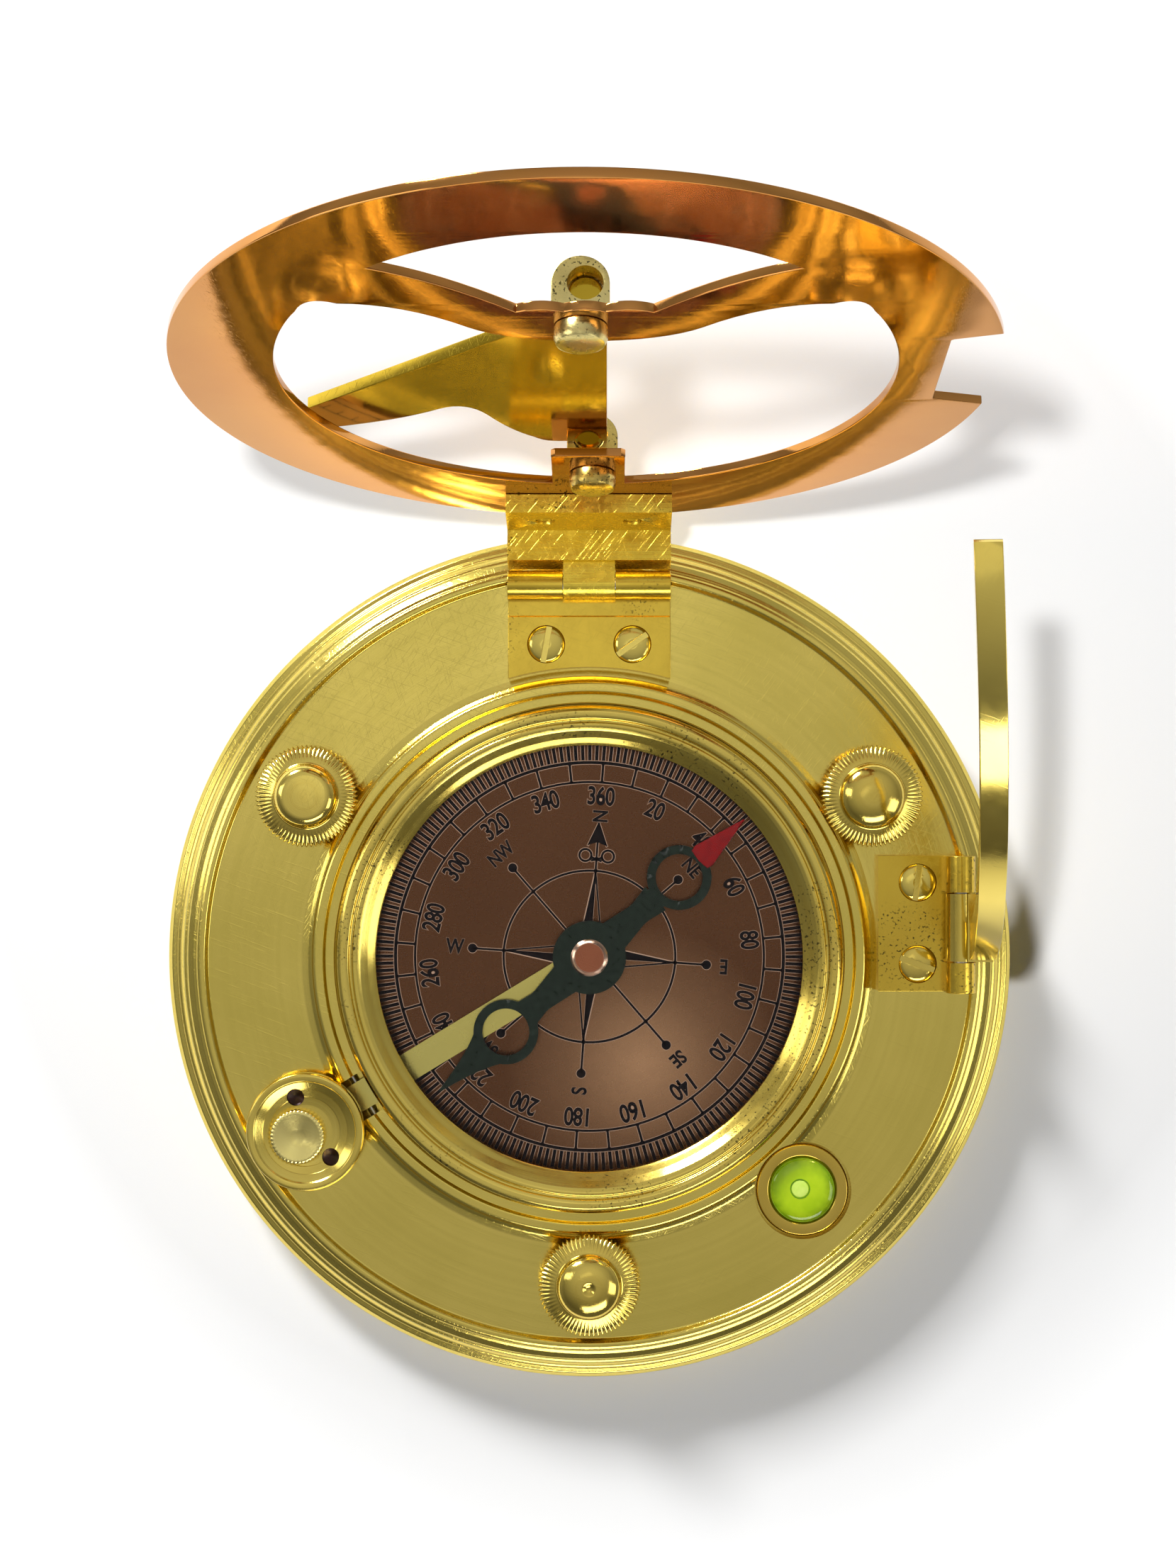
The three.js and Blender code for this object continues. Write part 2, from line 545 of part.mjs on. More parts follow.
// Latitude arc's leaf: flat inside, with two knuckles on an axis along Y
function arcHingeLeaf() {
  const innerX = arcAxisX - ARC_LEAF_REACH;
  const shape = new THREE.Shape();
  shape.moveTo(innerX, FLOOR_Z);
  shape.lineTo(arcAxisX - 1.5, FLOOR_Z);
  shape.lineTo(arcAxisX, arcAxisZ - KNUCKLE_R);
  shape.absarc(arcAxisX, arcAxisZ, KNUCKLE_R, -Math.PI / 2, Math.PI, false);
  shape.lineTo(arcAxisX - KNUCKLE_R, leafTopZ);
  shape.lineTo(innerX, leafTopZ);
  const leaf = acrossY(plate(shape, -ARC_LEAF_HIGH_Y, -ARC_LEAF_LOW_Y, 10));
  const reach = KNUCKLE_R + FIT;
  const gap = block(arcAxisX - reach, arcAxisX + reach,
    ARC_KNUCKLE_LOW_Y - RUN, ARC_KNUCKLE_HIGH_Y + RUN, arcAxisZ - reach, 20);
  const bore = rodY(HINGE_PIN_R + RUN, -30, 30, arcAxisX, arcAxisZ);
  const holes = arcScrewYs.map((y) => screwHole(leafTopZ, 0).translate(arcScrewX, y, 0));
  return carve(leaf, gap, bore, ...holes);
}

const arcPinYs = [ARC_LEAF_LOW_Y + RUN, ARC_LEAF_HIGH_Y - RUN];
const arcHingePin = () => rodY(HINGE_PIN_R, ...arcPinYs, arcAxisX, arcAxisZ);

// Height above the ring's polished underside, as a local Z that grows towards that underside
const ringZ = (height) => -ringRISE - height;

// Length on the ring's plate that grows with its opening
const onPlate = (length) => (length * ringInnerR) / 34.4;

// Crossbar round its own middle: a bowed bar with a scalloped top and a cusp at each lower end
function crossbar(low, high) {
  const top = BAR_HALF;
  const foot = -BAR_HALF;
  const shape = new THREE.Shape();
  shape.moveTo(-24, top + 13.6);
  shape.lineTo(-21.9, top + 10.1);
  shape.quadraticCurveTo(-15, top + 7.4, -7.2, top - 0.3);
  shape.quadraticCurveTo(-4.7, top + 1.1, -2.2, top - 0.2);
  shape.quadraticCurveTo(0, top + 1.1, 2.2, top - 0.2);
  shape.quadraticCurveTo(4.7, top + 1.1, 7.2, top - 0.3);
  shape.quadraticCurveTo(15, top + 7.4, 21.9, top + 10.1);
  shape.lineTo(24, top + 13.6);
  shape.lineTo(33, foot + 12);
  shape.lineTo(30.3, foot + 7.6);
  shape.quadraticCurveTo(29, foot + 11.4, 25.8, foot + 9.5);
  shape.quadraticCurveTo(19, foot + 9.5, 12.5, foot + 3.6);
  shape.quadraticCurveTo(8.5, foot + 0.2, 0, foot);
  shape.quadraticCurveTo(-8.5, foot + 0.2, -12.5, foot + 3.6);
  shape.quadraticCurveTo(-19, foot + 9.5, -25.8, foot + 9.5);
  shape.quadraticCurveTo(-29, foot + 11.4, -30.3, foot + 7.6);
  shape.lineTo(-33, foot + 12);
  return plate(shape, low, high).scale(onPlate(1), onPlate(1), 1).translate(0, BAR_V, 0);
}

// Hour ring: a flat plate ring with its crossbar, lug, notch for the arc and rivet holes
function hourRing() {
  const [low, high] = [ringZ(RING_T), ringZ(0)];
  const ring = turned([
    [ringInnerR, low], [ringR - 0.2, low], [ringR, low + 0.2], [ringR, high - 0.2],
    [ringR - 0.2, high], [ringInnerR, high], [ringInnerR, low],
  ], 80);
  const bar = crossbar(low, high);
  const lugTop = -ringInnerR + LUG_REACH;
  const lug = plate(outline([
    [-LUG_HALF, -ringInnerR - 2], [LUG_HALF, -ringInnerR - 2], [LUG_HALF, lugTop - 0.4],
    [LUG_HALF - 0.4, lugTop], [-LUG_HALF + 0.4, lugTop], [-LUG_HALF, lugTop - 0.4],
  ]), low, high);
  const notch = plate(outline([
    [ringR - NOTCH_DEPTH, -NOTCH_HALF], [ringR + 2, -NOTCH_HALF - NOTCH_FLARE * 1.3],
    [ringR + 2, NOTCH_HALF + NOTCH_FLARE * 1.3], [ringR - NOTCH_DEPTH, NOTCH_HALF],
  ]), low - 1, high + 1).translate(0, NOTCH_MIDDLE, 0);
  const tailHole = (x, v) => rod(POST_TAIL_R + RUN, low - 1, high + 1).translate(x, v, 0);
  const screwBore = (x) => rod(SCREW_SHANK_R + 2 * RUN, low - 1, high + 1, 20)
    .translate(x, FLANGE_SCREW_V - ringCentreV, 0);
  return carve(join(ring, bar, lug), notch, tailHole(-POST_SHIFT, BAR_V), tailHole(POST_SHIFT, postLowerV),
    screwBore(-RING_SCREW_X), screwBore(RING_SCREW_X)).translate(0, ringCentreV, 0);
}

// Ring bracket: a flange under the ring, a web that lifts it clear of the compass, one knuckle
function ringBracket() {
  const flangeBack = ringZ(-SEAT);
  const flangeFront = ringZ(-FLANGE_T);
  const flange = block(-RING_HINGE_HALF, RING_HINGE_HALF, WEB_BOTTOM, FLANGE_TOP, flangeBack, flangeFront);
  const webFront = flangeFront + WEB_DEPTH;
  const web = block(-RING_HINGE_HALF, RING_HINGE_HALF, WEB_BOTTOM, WEB_TOP, flangeFront - 0.5, webFront);
  const neck = block(-RING_MIDDLE_HALF, RING_MIDDLE_HALF, WEB_BOTTOM, KNUCKLE_R, webFront - 0.5, 0);
  const knuckle = rodX(KNUCKLE_R, -RING_MIDDLE_HALF, RING_MIDDLE_HALF, 0, 0, 24);
  const bore = rodX(HINGE_PIN_R + RUN, -20, 20, 0, 0);
  const screwBore = () => rod(SCREW_SHANK_R + RUN, flangeBack - 1, flangeFront + 1, 20);
  const holes = ringScrewXs.map((x) => screwBore().translate(x, FLANGE_SCREW_V, 0));
  return carve(join(flange, web, neck, knuckle), bore, ...holes);
}

// Ring screws: heads on the ring's face side, tips short of the flange's front
function ringScrew(x) {
  const headTop = RING_T + SEAT + SCREW_HEAD_T;
  const length = headTop + FLANGE_T - 0.4;
  return slottedScrew(headTop, length).rotateX(Math.PI).translate(x, FLANGE_SCREW_V, ringZ(0));
}

// Gnomon post: a round-topped block with a pivot hole, riveted through the plate
function gnomonPost(shift, v) {
  const shape = new THREE.Shape();
  shape.moveTo(-POST_HALF, SEAT);
  shape.lineTo(POST_HALF, SEAT);
  shape.absarc(0, POST_PIVOT_RISE, POST_HALF, 0, Math.PI, false);
  const body = plate(shape, -POST_DEPTH / 2, POST_DEPTH / 2, 10).rotateX(-Math.PI / 2)
    .rotateZ(Math.PI).translate(shift, 0, ringZ(RING_T));
  const tail = turned([
    [0, ringZ(RING_T + 0.5)], [POST_TAIL_R, ringZ(RING_T + 0.5)], [POST_TAIL_R, ringZ(-SEAT)],
    [POST_RIVET_R, ringZ(-SEAT)], [POST_RIVET_R, ringZ(-POST_RIVET_DROP + 0.6)],
    [POST_RIVET_R * 0.72, ringZ(-POST_RIVET_DROP + 0.1)], [0, ringZ(-POST_RIVET_DROP)],
  ], 24).translate(shift, 0, 0);
  const bore = rodY(TRUNNION_R + RUN, -20, 20, 0, ringZ(pivotRise), 28);
  return carve(join(body, tail), bore).translate(0, ringCentreV + v, 0);
}

// Gnomon: a thin plate with a straight style edge, a blunt tip, an ogee foot and two trunnions
function gnomon() {
  const topV = postUpperFootV - FIT;
  const footV = postLowerTopV + FIT;
  const drawn = [
    [-33.0, -17.2], [-30.6, -23.0], [-22.7, -21.0], [-17.4, -17.3], [-14.2, -15.2], [-11.9, -19.2],
    [-9.4, -24.0],
  ].map(([u, v]) => [onPlate(u), onPlate(v)]);
  const [tip, chin, sole, arch, crest, ankle, instep] = drawn;
  const shape = new THREE.Shape();
  shape.moveTo(GNOMON_HEEL, topV);
  shape.lineTo(-onPlate(2.0), topV);
  shape.lineTo(...tip);
  shape.lineTo(...chin);
  shape.quadraticCurveTo(...sole, ...arch);
  shape.quadraticCurveTo(...crest, ...ankle);
  shape.quadraticCurveTo(...instep, -onPlate(6.6), footV + 1.4);
  shape.quadraticCurveTo(-onPlate(5.4), footV, -onPlate(3.8), footV);
  shape.lineTo(GNOMON_HEEL, footV);
  const mid = ringZ(pivotRise);
  const sheet = plate(shape, mid - GNOMON_T / 2, mid + GNOMON_T / 2, 5);
  const upper = rodY(TRUNNION_R, topV - 1, topV + TRUNNION_LENGTH, 0, mid, 24);
  const lower = rodY(TRUNNION_R, footV - TRUNNION_LENGTH, footV + 1, 0, mid, 24);
  return join(sheet, upper, lower).translate(0, ringCentreV, 0);
}

// Latitude arc: a quadrant round the ring's hinge axis, on a foot with one knuckle
function latitudeArc() {
  const centreY = ringAxisY;
  const centreZ = ringAxisZ - arcAxisZ;
  const sweep = ARC_SWEEP * RAD;
  const inner = arcR - ARC_WIDTH;
  const shape = new THREE.Shape();
  shape.moveTo(centreY - arcR, centreZ);
  shape.absarc(centreY, centreZ, arcR, Math.PI, Math.PI - sweep, true);
  shape.lineTo(centreY - inner * Math.cos(sweep), centreZ + inner * Math.sin(sweep));
  shape.absarc(centreY, centreZ, inner, Math.PI - sweep, Math.PI, false);
  const band = acrossX(plate(shape, ARC_OFFSET, ARC_OFFSET + ARC_T, 28));
  const foot = block(ARC_OFFSET, ARC_OFFSET + ARC_T, ARC_KNUCKLE_LOW_Y + RUN, ARC_KNUCKLE_HIGH_Y - RUN,
    -KNUCKLE_R, KNUCKLE_R);
  const knuckle = rodY(KNUCKLE_R, ARC_KNUCKLE_LOW_Y + RUN, ARC_KNUCKLE_HIGH_Y - RUN, 0, 0, 24);
  const bore = rodY(HINGE_PIN_R + RUN, -20, 20, 0, 0);
  return carve(join(band, foot, knuckle), bore);
}

add(sundial, 'base_dish', baseDish(), SATIN_BRASS);
add(sundial, 'compass_case', compassCase(), SATIN_BRASS);
[90, 210, 330].forEach((angle, i) => {
  add(sundial, `case_screw_${i + 1}`, placeAt(caseScrew(), caseScrewAt, angle), BRIGHT_BRASS);
});
add(sundial, 'dial_card', dialCard(), DIAL_COPPER);
add(sundial, 'needle_pivot', needlePivot(), STEEL);
add(sundial, 'needle', needle(), NEEDLE_BLACK);
add(sundial, 'needle_cap', needleCap(), CAP_COPPER);
add(sundial, 'compass_glass', glass(), CLEAR_GLASS);
add(sundial, 'bezel', bezel(), BRIGHT_BRASS);
add(sundial, 'lifter_arm', lifterArm(), HINGE_BRASS);
add(sundial, 'fulcrum_pin', fulcrumPin(), STEEL);
add(sundial, 'lock_disc', lockDisc(), SATIN_BRASS);
add(sundial, 'lock_boss', lockBoss(), BRIGHT_BRASS);
add(sundial, 'lock_nut', lockNut(), BRIGHT_BRASS);
LEVEL_ANGLES.forEach((angle, i) => {
  add(sundial, `level_shank_${i + 1}`, placeAt(levelShank(), levelAt, angle), BRIGHT_BRASS);
  add(sundial, `level_knob_${i + 1}`, placeAt(levelKnob(), levelAt, angle), BRIGHT_BRASS);
});
add(sundial, 'vial_cup', placeAt(vialCup(), vialAt, VIAL_ANGLE), HINGE_BRASS);
add(sundial, 'level_vial', placeAt(levelVial(), vialAt, VIAL_ANGLE), GREEN_VIAL);
add(sundial, 'ring_hinge_leaf', ringHingeLeaf(), HINGE_BRASS);
add(sundial, 'ring_hinge_pin', ringHingePin(), STEEL);
ringScrewXs.forEach((x, i) => {
  const turn = [80, 35][i] * RAD;
  add(sundial, `ring_leaf_screw_${i + 1}`, slottedScrew(leafTopZ).rotateZ(turn).translate(x, leafScrewY, 0),
    BRIGHT_BRASS);
});
add(sundial, 'arc_hinge_leaf', arcHingeLeaf(), HINGE_BRASS);
add(sundial, 'arc_hinge_pin', arcHingePin(), STEEL);
arcScrewYs.forEach((y, i) => {
  const turn = [-20, 82][i] * RAD;
  add(sundial, `arc_leaf_screw_${i + 1}`, slottedScrew(leafTopZ).rotateZ(turn).translate(arcScrewX, y, 0),
    BRIGHT_BRASS);
});

const ringGroup = new THREE.Group();
ringGroup.position.set(0, ringAxisY, ringAxisZ);
ringGroup.rotation.x = ringTilt;
sundial.add(ringGroup);
add(ringGroup, 'hour_ring', hourRing(), RING_COPPER);
add(ringGroup, 'ring_bracket', ringBracket(), HINGE_BRASS);
ringScrewXs.forEach((x, i) => {
  add(ringGroup, `ring_screw_${i + 1}`, ringScrew(x), BRIGHT_BRASS);
});
add(ringGroup, 'gnomon_post_upper', gnomonPost(-POST_SHIFT, BAR_V), HINGE_BRASS);
add(ringGroup, 'gnomon_post_lower', gnomonPost(POST_SHIFT, postLowerV), HINGE_BRASS);
add(ringGroup, 'gnomon', gnomon(), BRIGHT_BRASS);

const arcGroup = new THREE.Group();
arcGroup.position.set(arcAxisX, 0, arcAxisZ);
arcGroup.rotation.y = -ARC_LEAN * RAD;
sundial.add(arcGroup);
add(arcGroup, 'latitude_arc', latitudeArc(), HINGE_BRASS);

export default sundial;
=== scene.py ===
"""Folding brass sundial compass, dressed for rendering.

Sizes are in millimetres until M turns them to metres.
"""

import math

import bpy
import bmesh
from mathutils import Matrix, Vector


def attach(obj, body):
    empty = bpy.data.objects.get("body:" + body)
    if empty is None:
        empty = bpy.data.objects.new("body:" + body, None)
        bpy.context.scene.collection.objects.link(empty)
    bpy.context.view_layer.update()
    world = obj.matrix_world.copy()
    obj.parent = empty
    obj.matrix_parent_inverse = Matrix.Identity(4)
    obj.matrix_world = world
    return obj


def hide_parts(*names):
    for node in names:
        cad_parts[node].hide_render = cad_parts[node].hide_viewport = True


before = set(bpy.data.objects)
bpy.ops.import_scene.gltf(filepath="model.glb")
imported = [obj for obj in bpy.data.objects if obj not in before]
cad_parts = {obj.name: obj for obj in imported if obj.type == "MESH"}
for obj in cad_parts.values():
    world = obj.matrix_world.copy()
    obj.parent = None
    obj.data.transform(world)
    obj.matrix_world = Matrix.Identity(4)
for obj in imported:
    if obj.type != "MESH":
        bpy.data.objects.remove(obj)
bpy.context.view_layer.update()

M = 0.001
RAD = math.pi / 180

# Places and sizes shared with the solids. _Z marks a height, _V a place up the ring's plate
FLOOR_Z = 5.0
PLINTH_Z = 5.9
LEDGE_Z = 5.4
WELL_R = 33.0
WELL_FLOOR_Z = 1.5
CASE_R = 32.7
CASE_FLOOR_Z = 2.2
CASE_SCREWS_AT = 19.62
CASE_SCREW_ANGLES = (90, 210, 330)
DIAL_TOP_Z = 2.7
DIAL_R = 28.4
GLASS_Z = 5.7
GLASS_TOP_Z = 6.5
BEZEL_TOP_Z = 8.5
NEEDLE_Z = 4.4
NEEDLE_TOP_Z = NEEDLE_Z + 0.5
NEEDLE_ANGLE = 41.7
ARM_Z = 3.2
ARM_TOP_Z = 3.9
ARM_SLOT = 2.85
LOCK_AT = 42.7
LOCK_ANGLE = 211.3
LOCK_Z = 6.2
LEVEL_AT = 41.9
LEVEL_ANGLES = (150, 30, 270)
KNOB_Z = 7.0
KNOB_RIM_Z = KNOB_Z + 2.2
SHANK_HOLE_R = 2.1
VIAL_AT = 40.9
VIAL_ANGLE = -47.5
VIAL_POCKET_R = 6.3
VIAL_FLOOR_Z = 2.2
RING_AXIS_Y = 48.0
RING_AXIS_Z = 7.9
RING_TILT = 76.2
RING_CENTRE_V = 47.0
RING_RISE = 9.0
RING_T = 1.1
RING_R = 45.9
RING_INNER_R = 34.4
BAR_V = 12.5
LOWER_POST_V = -30.8
POST_SHIFT = 0.5
TRUNNION_RISE = 2.6
FLANGE_BOLT_V = 6.1
BOLT_X = (-5.55, 5.55)
LEAF_BOLT_Y = 40.5
ARC_AXIS_X = 47.5
ARC_AXIS_Z = 9.2
ARC_LEAN = 7.5
ARC_BOW = 0.9
ARC_BOLT_X = 42.3
ARC_BOLT_Y = (-0.7, 9.8)
LEAF_TOP_Z = 7.0
KNUCKLE_R = 1.9
KNUCKLE_GAP = 0.3
PIN_R = 0.8
PIN_HOLE_R = 0.9
HALF_LEAF = 10.45


# Geometry helpers

def polar(r, degrees):
    return r * math.cos(degrees * RAD), r * math.sin(degrees * RAD)


def beside(spot, r, degrees):
    """Place at a distance and an angle from another place."""
    x, y = polar(r, degrees)
    return spot[0] + x, spot[1] + y


def link(data, name):
    piece = bpy.data.objects.new(name, data)
    bpy.context.scene.collection.objects.link(piece)
    return piece


def meshed(bm, name):
    mesh = bpy.data.meshes.new(name)
    bm.to_mesh(mesh)
    bm.free()
    return mesh


def smooth(piece, degrees=32):
    mesh = piece.data
    mesh.polygons.foreach_set("use_smooth", [True] * len(mesh.polygons))
    mesh.set_sharp_from_angle(angle=degrees * RAD)
    return piece


def fillet(profile, radius):
    """Rounds the inner corners of an open [r, z] line."""
    out = [profile[0]]
    for before, here, after in zip(profile, profile[1:], profile[2:]):
        a = Vector(before) - Vector(here)
        b = Vector(after) - Vector(here)
        reach = min(radius, a.length * 0.45, b.length * 0.45)
        if reach < 1e-4 or a.angle(b) > 3.05:
            out.append(here)
            continue
        start = Vector(here) + a.normalized() * reach
        end = Vector(here) + b.normalized() * reach
        for t in (0, 1 / 3, 2 / 3, 1):
            point = start * (1 - t) ** 2 + Vector(here) * 2 * t * (1 - t) + end * t * t
            out.append((point.x, point.y))
    out.append(profile[-1])
    return out


def lathe(name, profile, segments=144, at=(0, 0), round_by=0.0, radius_at=None):
    """Solid of revolution about Z from [r, z] pairs, in mm. radius_at(r, turn) may change a radius."""
    line = fillet(profile, round_by) if round_by else profile
    closed = profile[0] == profile[-1]
    bm = bmesh.new()
    rows = []
    for r, z in line[:-1] if closed else line:
        row = []
        for i in range(segments if r > 1e-6 else 1):
            turn = 2 * math.pi * i / segments
            wide = radius_at(r, turn) if radius_at else r
            x, y = at[0] + wide * math.cos(turn), at[1] + wide * math.sin(turn)
            row.append(bm.verts.new((x * M, y * M, z * M)))
        rows.append(row)
    if closed:
        rows.append(rows[0])
    for low, high in zip(rows, rows[1:]):
        if len(low) == len(high) == 1:
            continue
        for i in range(segments):
            corners = [row[k % len(row)] for row, k in ((low, i), (low, i + 1), (high, i + 1), (high, i))]
            bm.faces.new(tuple(dict.fromkeys(corners)))
    bmesh.ops.recalc_face_normals(bm, faces=bm.faces)
    return smooth(link(meshed(bm, name), name))


def baked(piece):
    """The piece with its modifiers or curve turned into a plain mesh."""
    graph = bpy.context.evaluated_depsgraph_get()
    mesh = bpy.data.meshes.new_from_object(piece.evaluated_get(graph))
    name = piece.name
    if piece.type == "MESH":
        piece.modifiers.clear()
        piece.data = mesh
        return piece
    placed = piece.matrix_world.copy()
    bpy.data.objects.remove(piece)
    mesh.transform(placed)
    return link(mesh, name)


def combine(piece, tools, operation="DIFFERENCE"):
    for tool in tools:
        step = piece.modifiers.new("step", "BOOLEAN")
        step.operation = operation
        step.solver = "EXACT"
        step.object = tool
    baked(piece)
    for tool in tools:
        bpy.data.objects.remove(tool)
    return smooth(piece)


def bevelled(piece, width, degrees=35):
    step = piece.modifiers.new("edge", "BEVEL")
    step.width = width * M
    step.segments = 2
    step.limit_method = "ANGLE"
    step.angle_limit = degrees * RAD
    return smooth(baked(piece))


def faced_out(mesh, weld=False):
    """Turns all normals outwards, and joins doubled points first where weld is set."""
    bm = bmesh.new()
    bm.from_mesh(mesh)
    if weld:
        bmesh.ops.remove_doubles(bm, verts=bm.verts, dist=1e-7)
    bmesh.ops.recalc_face_normals(bm, faces=bm.faces)
    bm.to_mesh(mesh)
    bm.free()


def plate(name, outlines, low, high, edge=0.12, place=None):
    """Flat plate from closed outlines in mm, with rounded edges; holes are outlines inside the first."""
    curve = bpy.data.curves.new(name, "CURVE")
    curve.dimensions = "2D"
    curve.fill_mode = "BOTH"
    for outline in outlines:
        spline = curve.splines.new("POLY")
        spline.points.add(len(outline) - 1)
        for point, (x, y) in zip(spline.points, outline):
            point.co = (x * M, y * M, 0, 1)
        spline.use_cyclic_u = True
    curve.extrude = ((high - low) / 2 - edge) * M
    curve.bevel_depth = edge * M
    curve.bevel_resolution = 1
    curve.offset = -edge * M
    piece = link(curve, name)
    piece.matrix_world = Matrix.Translation((0, 0, (low + high) / 2 * M))
    bpy.context.view_layer.update()
    piece = baked(piece)
    faced_out(piece.data, weld=True)
    if place is not None:
        piece.data.transform(place)
    return smooth(piece)


def box(name, x0, x1, y0, y1, z0, z1):
    bm = bmesh.new()
    bmesh.ops.create_cube(bm, size=1)
    bmesh.ops.scale(bm, vec=((x1 - x0) * M, (y1 - y0) * M, (z1 - z0) * M), verts=bm.verts)
    centre = ((x0 + x1) / 2 * M, (y0 + y1) / 2 * M, (z0 + z1) / 2 * M)
    bmesh.ops.translate(bm, vec=centre, verts=bm.verts)
    return link(meshed(bm, name), name)


def rod(name, r, z0, z1, segments=64, at=(0, 0)):
    return lathe(name, [(0, z0), (r, z0), (r, z1), (0, z1)], segments, at)


def laid(piece, axis, at=(0, 0, 0)):
    """An upright piece after a quarter turn about X or Y, moved to a place in mm."""
    spot = Matrix.Translation([c * M for c in at])
    piece.data.transform(spot @ Matrix.Rotation(math.pi / 2, 4, axis))
    return piece


def turn_z(piece, degrees, centre=(0, 0)):
    spot = Matrix.Translation((centre[0] * M, centre[1] * M, 0))
    piece.data.transform(spot @ Matrix.Rotation(degrees * RAD, 4, "Z") @ spot.inverted())
    return piece


def circle(r, count, at=(0, 0), start=0.0, stop=360.0):
    steps = count if abs(stop - start) >= 360 else count - 1
    return [beside(at, r, start + (stop - start) * i / steps) for i in range(count)]


def curve_between(a, control, b, steps):
    points = []
    for i in range(1, steps + 1):
        t = i / steps
        points.append([p * (1 - t) ** 2 + q * 2 * t * (1 - t) + r * t * t for p, q, r in zip(a, control, b)])
    return points


def word_piece(name, word, size, place, squeeze, offset=0.0, spacing=1.0):
    """Flat lettering as a mesh, with its middle at the place."""
    curve = bpy.data.curves.new("word", "FONT")
    curve.body = word
    curve.size = size * M
    curve.align_x = "CENTER"
    curve.align_y = "CENTER"
    curve.offset = offset * M
    curve.space_character = spacing
    piece = link(curve, name)
    piece.matrix_world = place @ Matrix.Diagonal((squeeze, 1, 1, 1))
    bpy.context.view_layer.update()
    return baked(piece)


def curve_through(points):
    """Curve through the first, third, fifth point and so on, with the others as controls."""
    line = points[:1]
    for control, end in zip(points[1::2], points[2::2]):
        line += curve_between(line[-1], control, end, 8)
    return line


LOCK_CENTRE = polar(LOCK_AT, LOCK_ANGLE)
VIAL_CENTRE = polar(VIAL_AT, VIAL_ANGLE)
RING_PLACE = (Matrix.Translation((0, RING_AXIS_Y * M, RING_AXIS_Z * M))
              @ Matrix.Rotation(RING_TILT * RAD, 4, "X"))
ARC_PLACE = (Matrix.Translation((ARC_AXIS_X * M, 0, ARC_AXIS_Z * M))
             @ Matrix.Rotation(-ARC_LEAN * RAD, 4, "Y"))
CENTRE_V = Matrix.Translation((0, RING_CENTRE_V * M, 0))
ACROSS_X = Matrix(((0, 0, 1, 0), (1, 0, 0, 0), (0, 1, 0, 0), (0, 0, 0, 1)))
ACROSS_Y = Matrix(((1, 0, 0, 0), (0, 0, -1, 0), (0, 1, 0, 0), (0, 0, 0, 1)))


# Material helpers

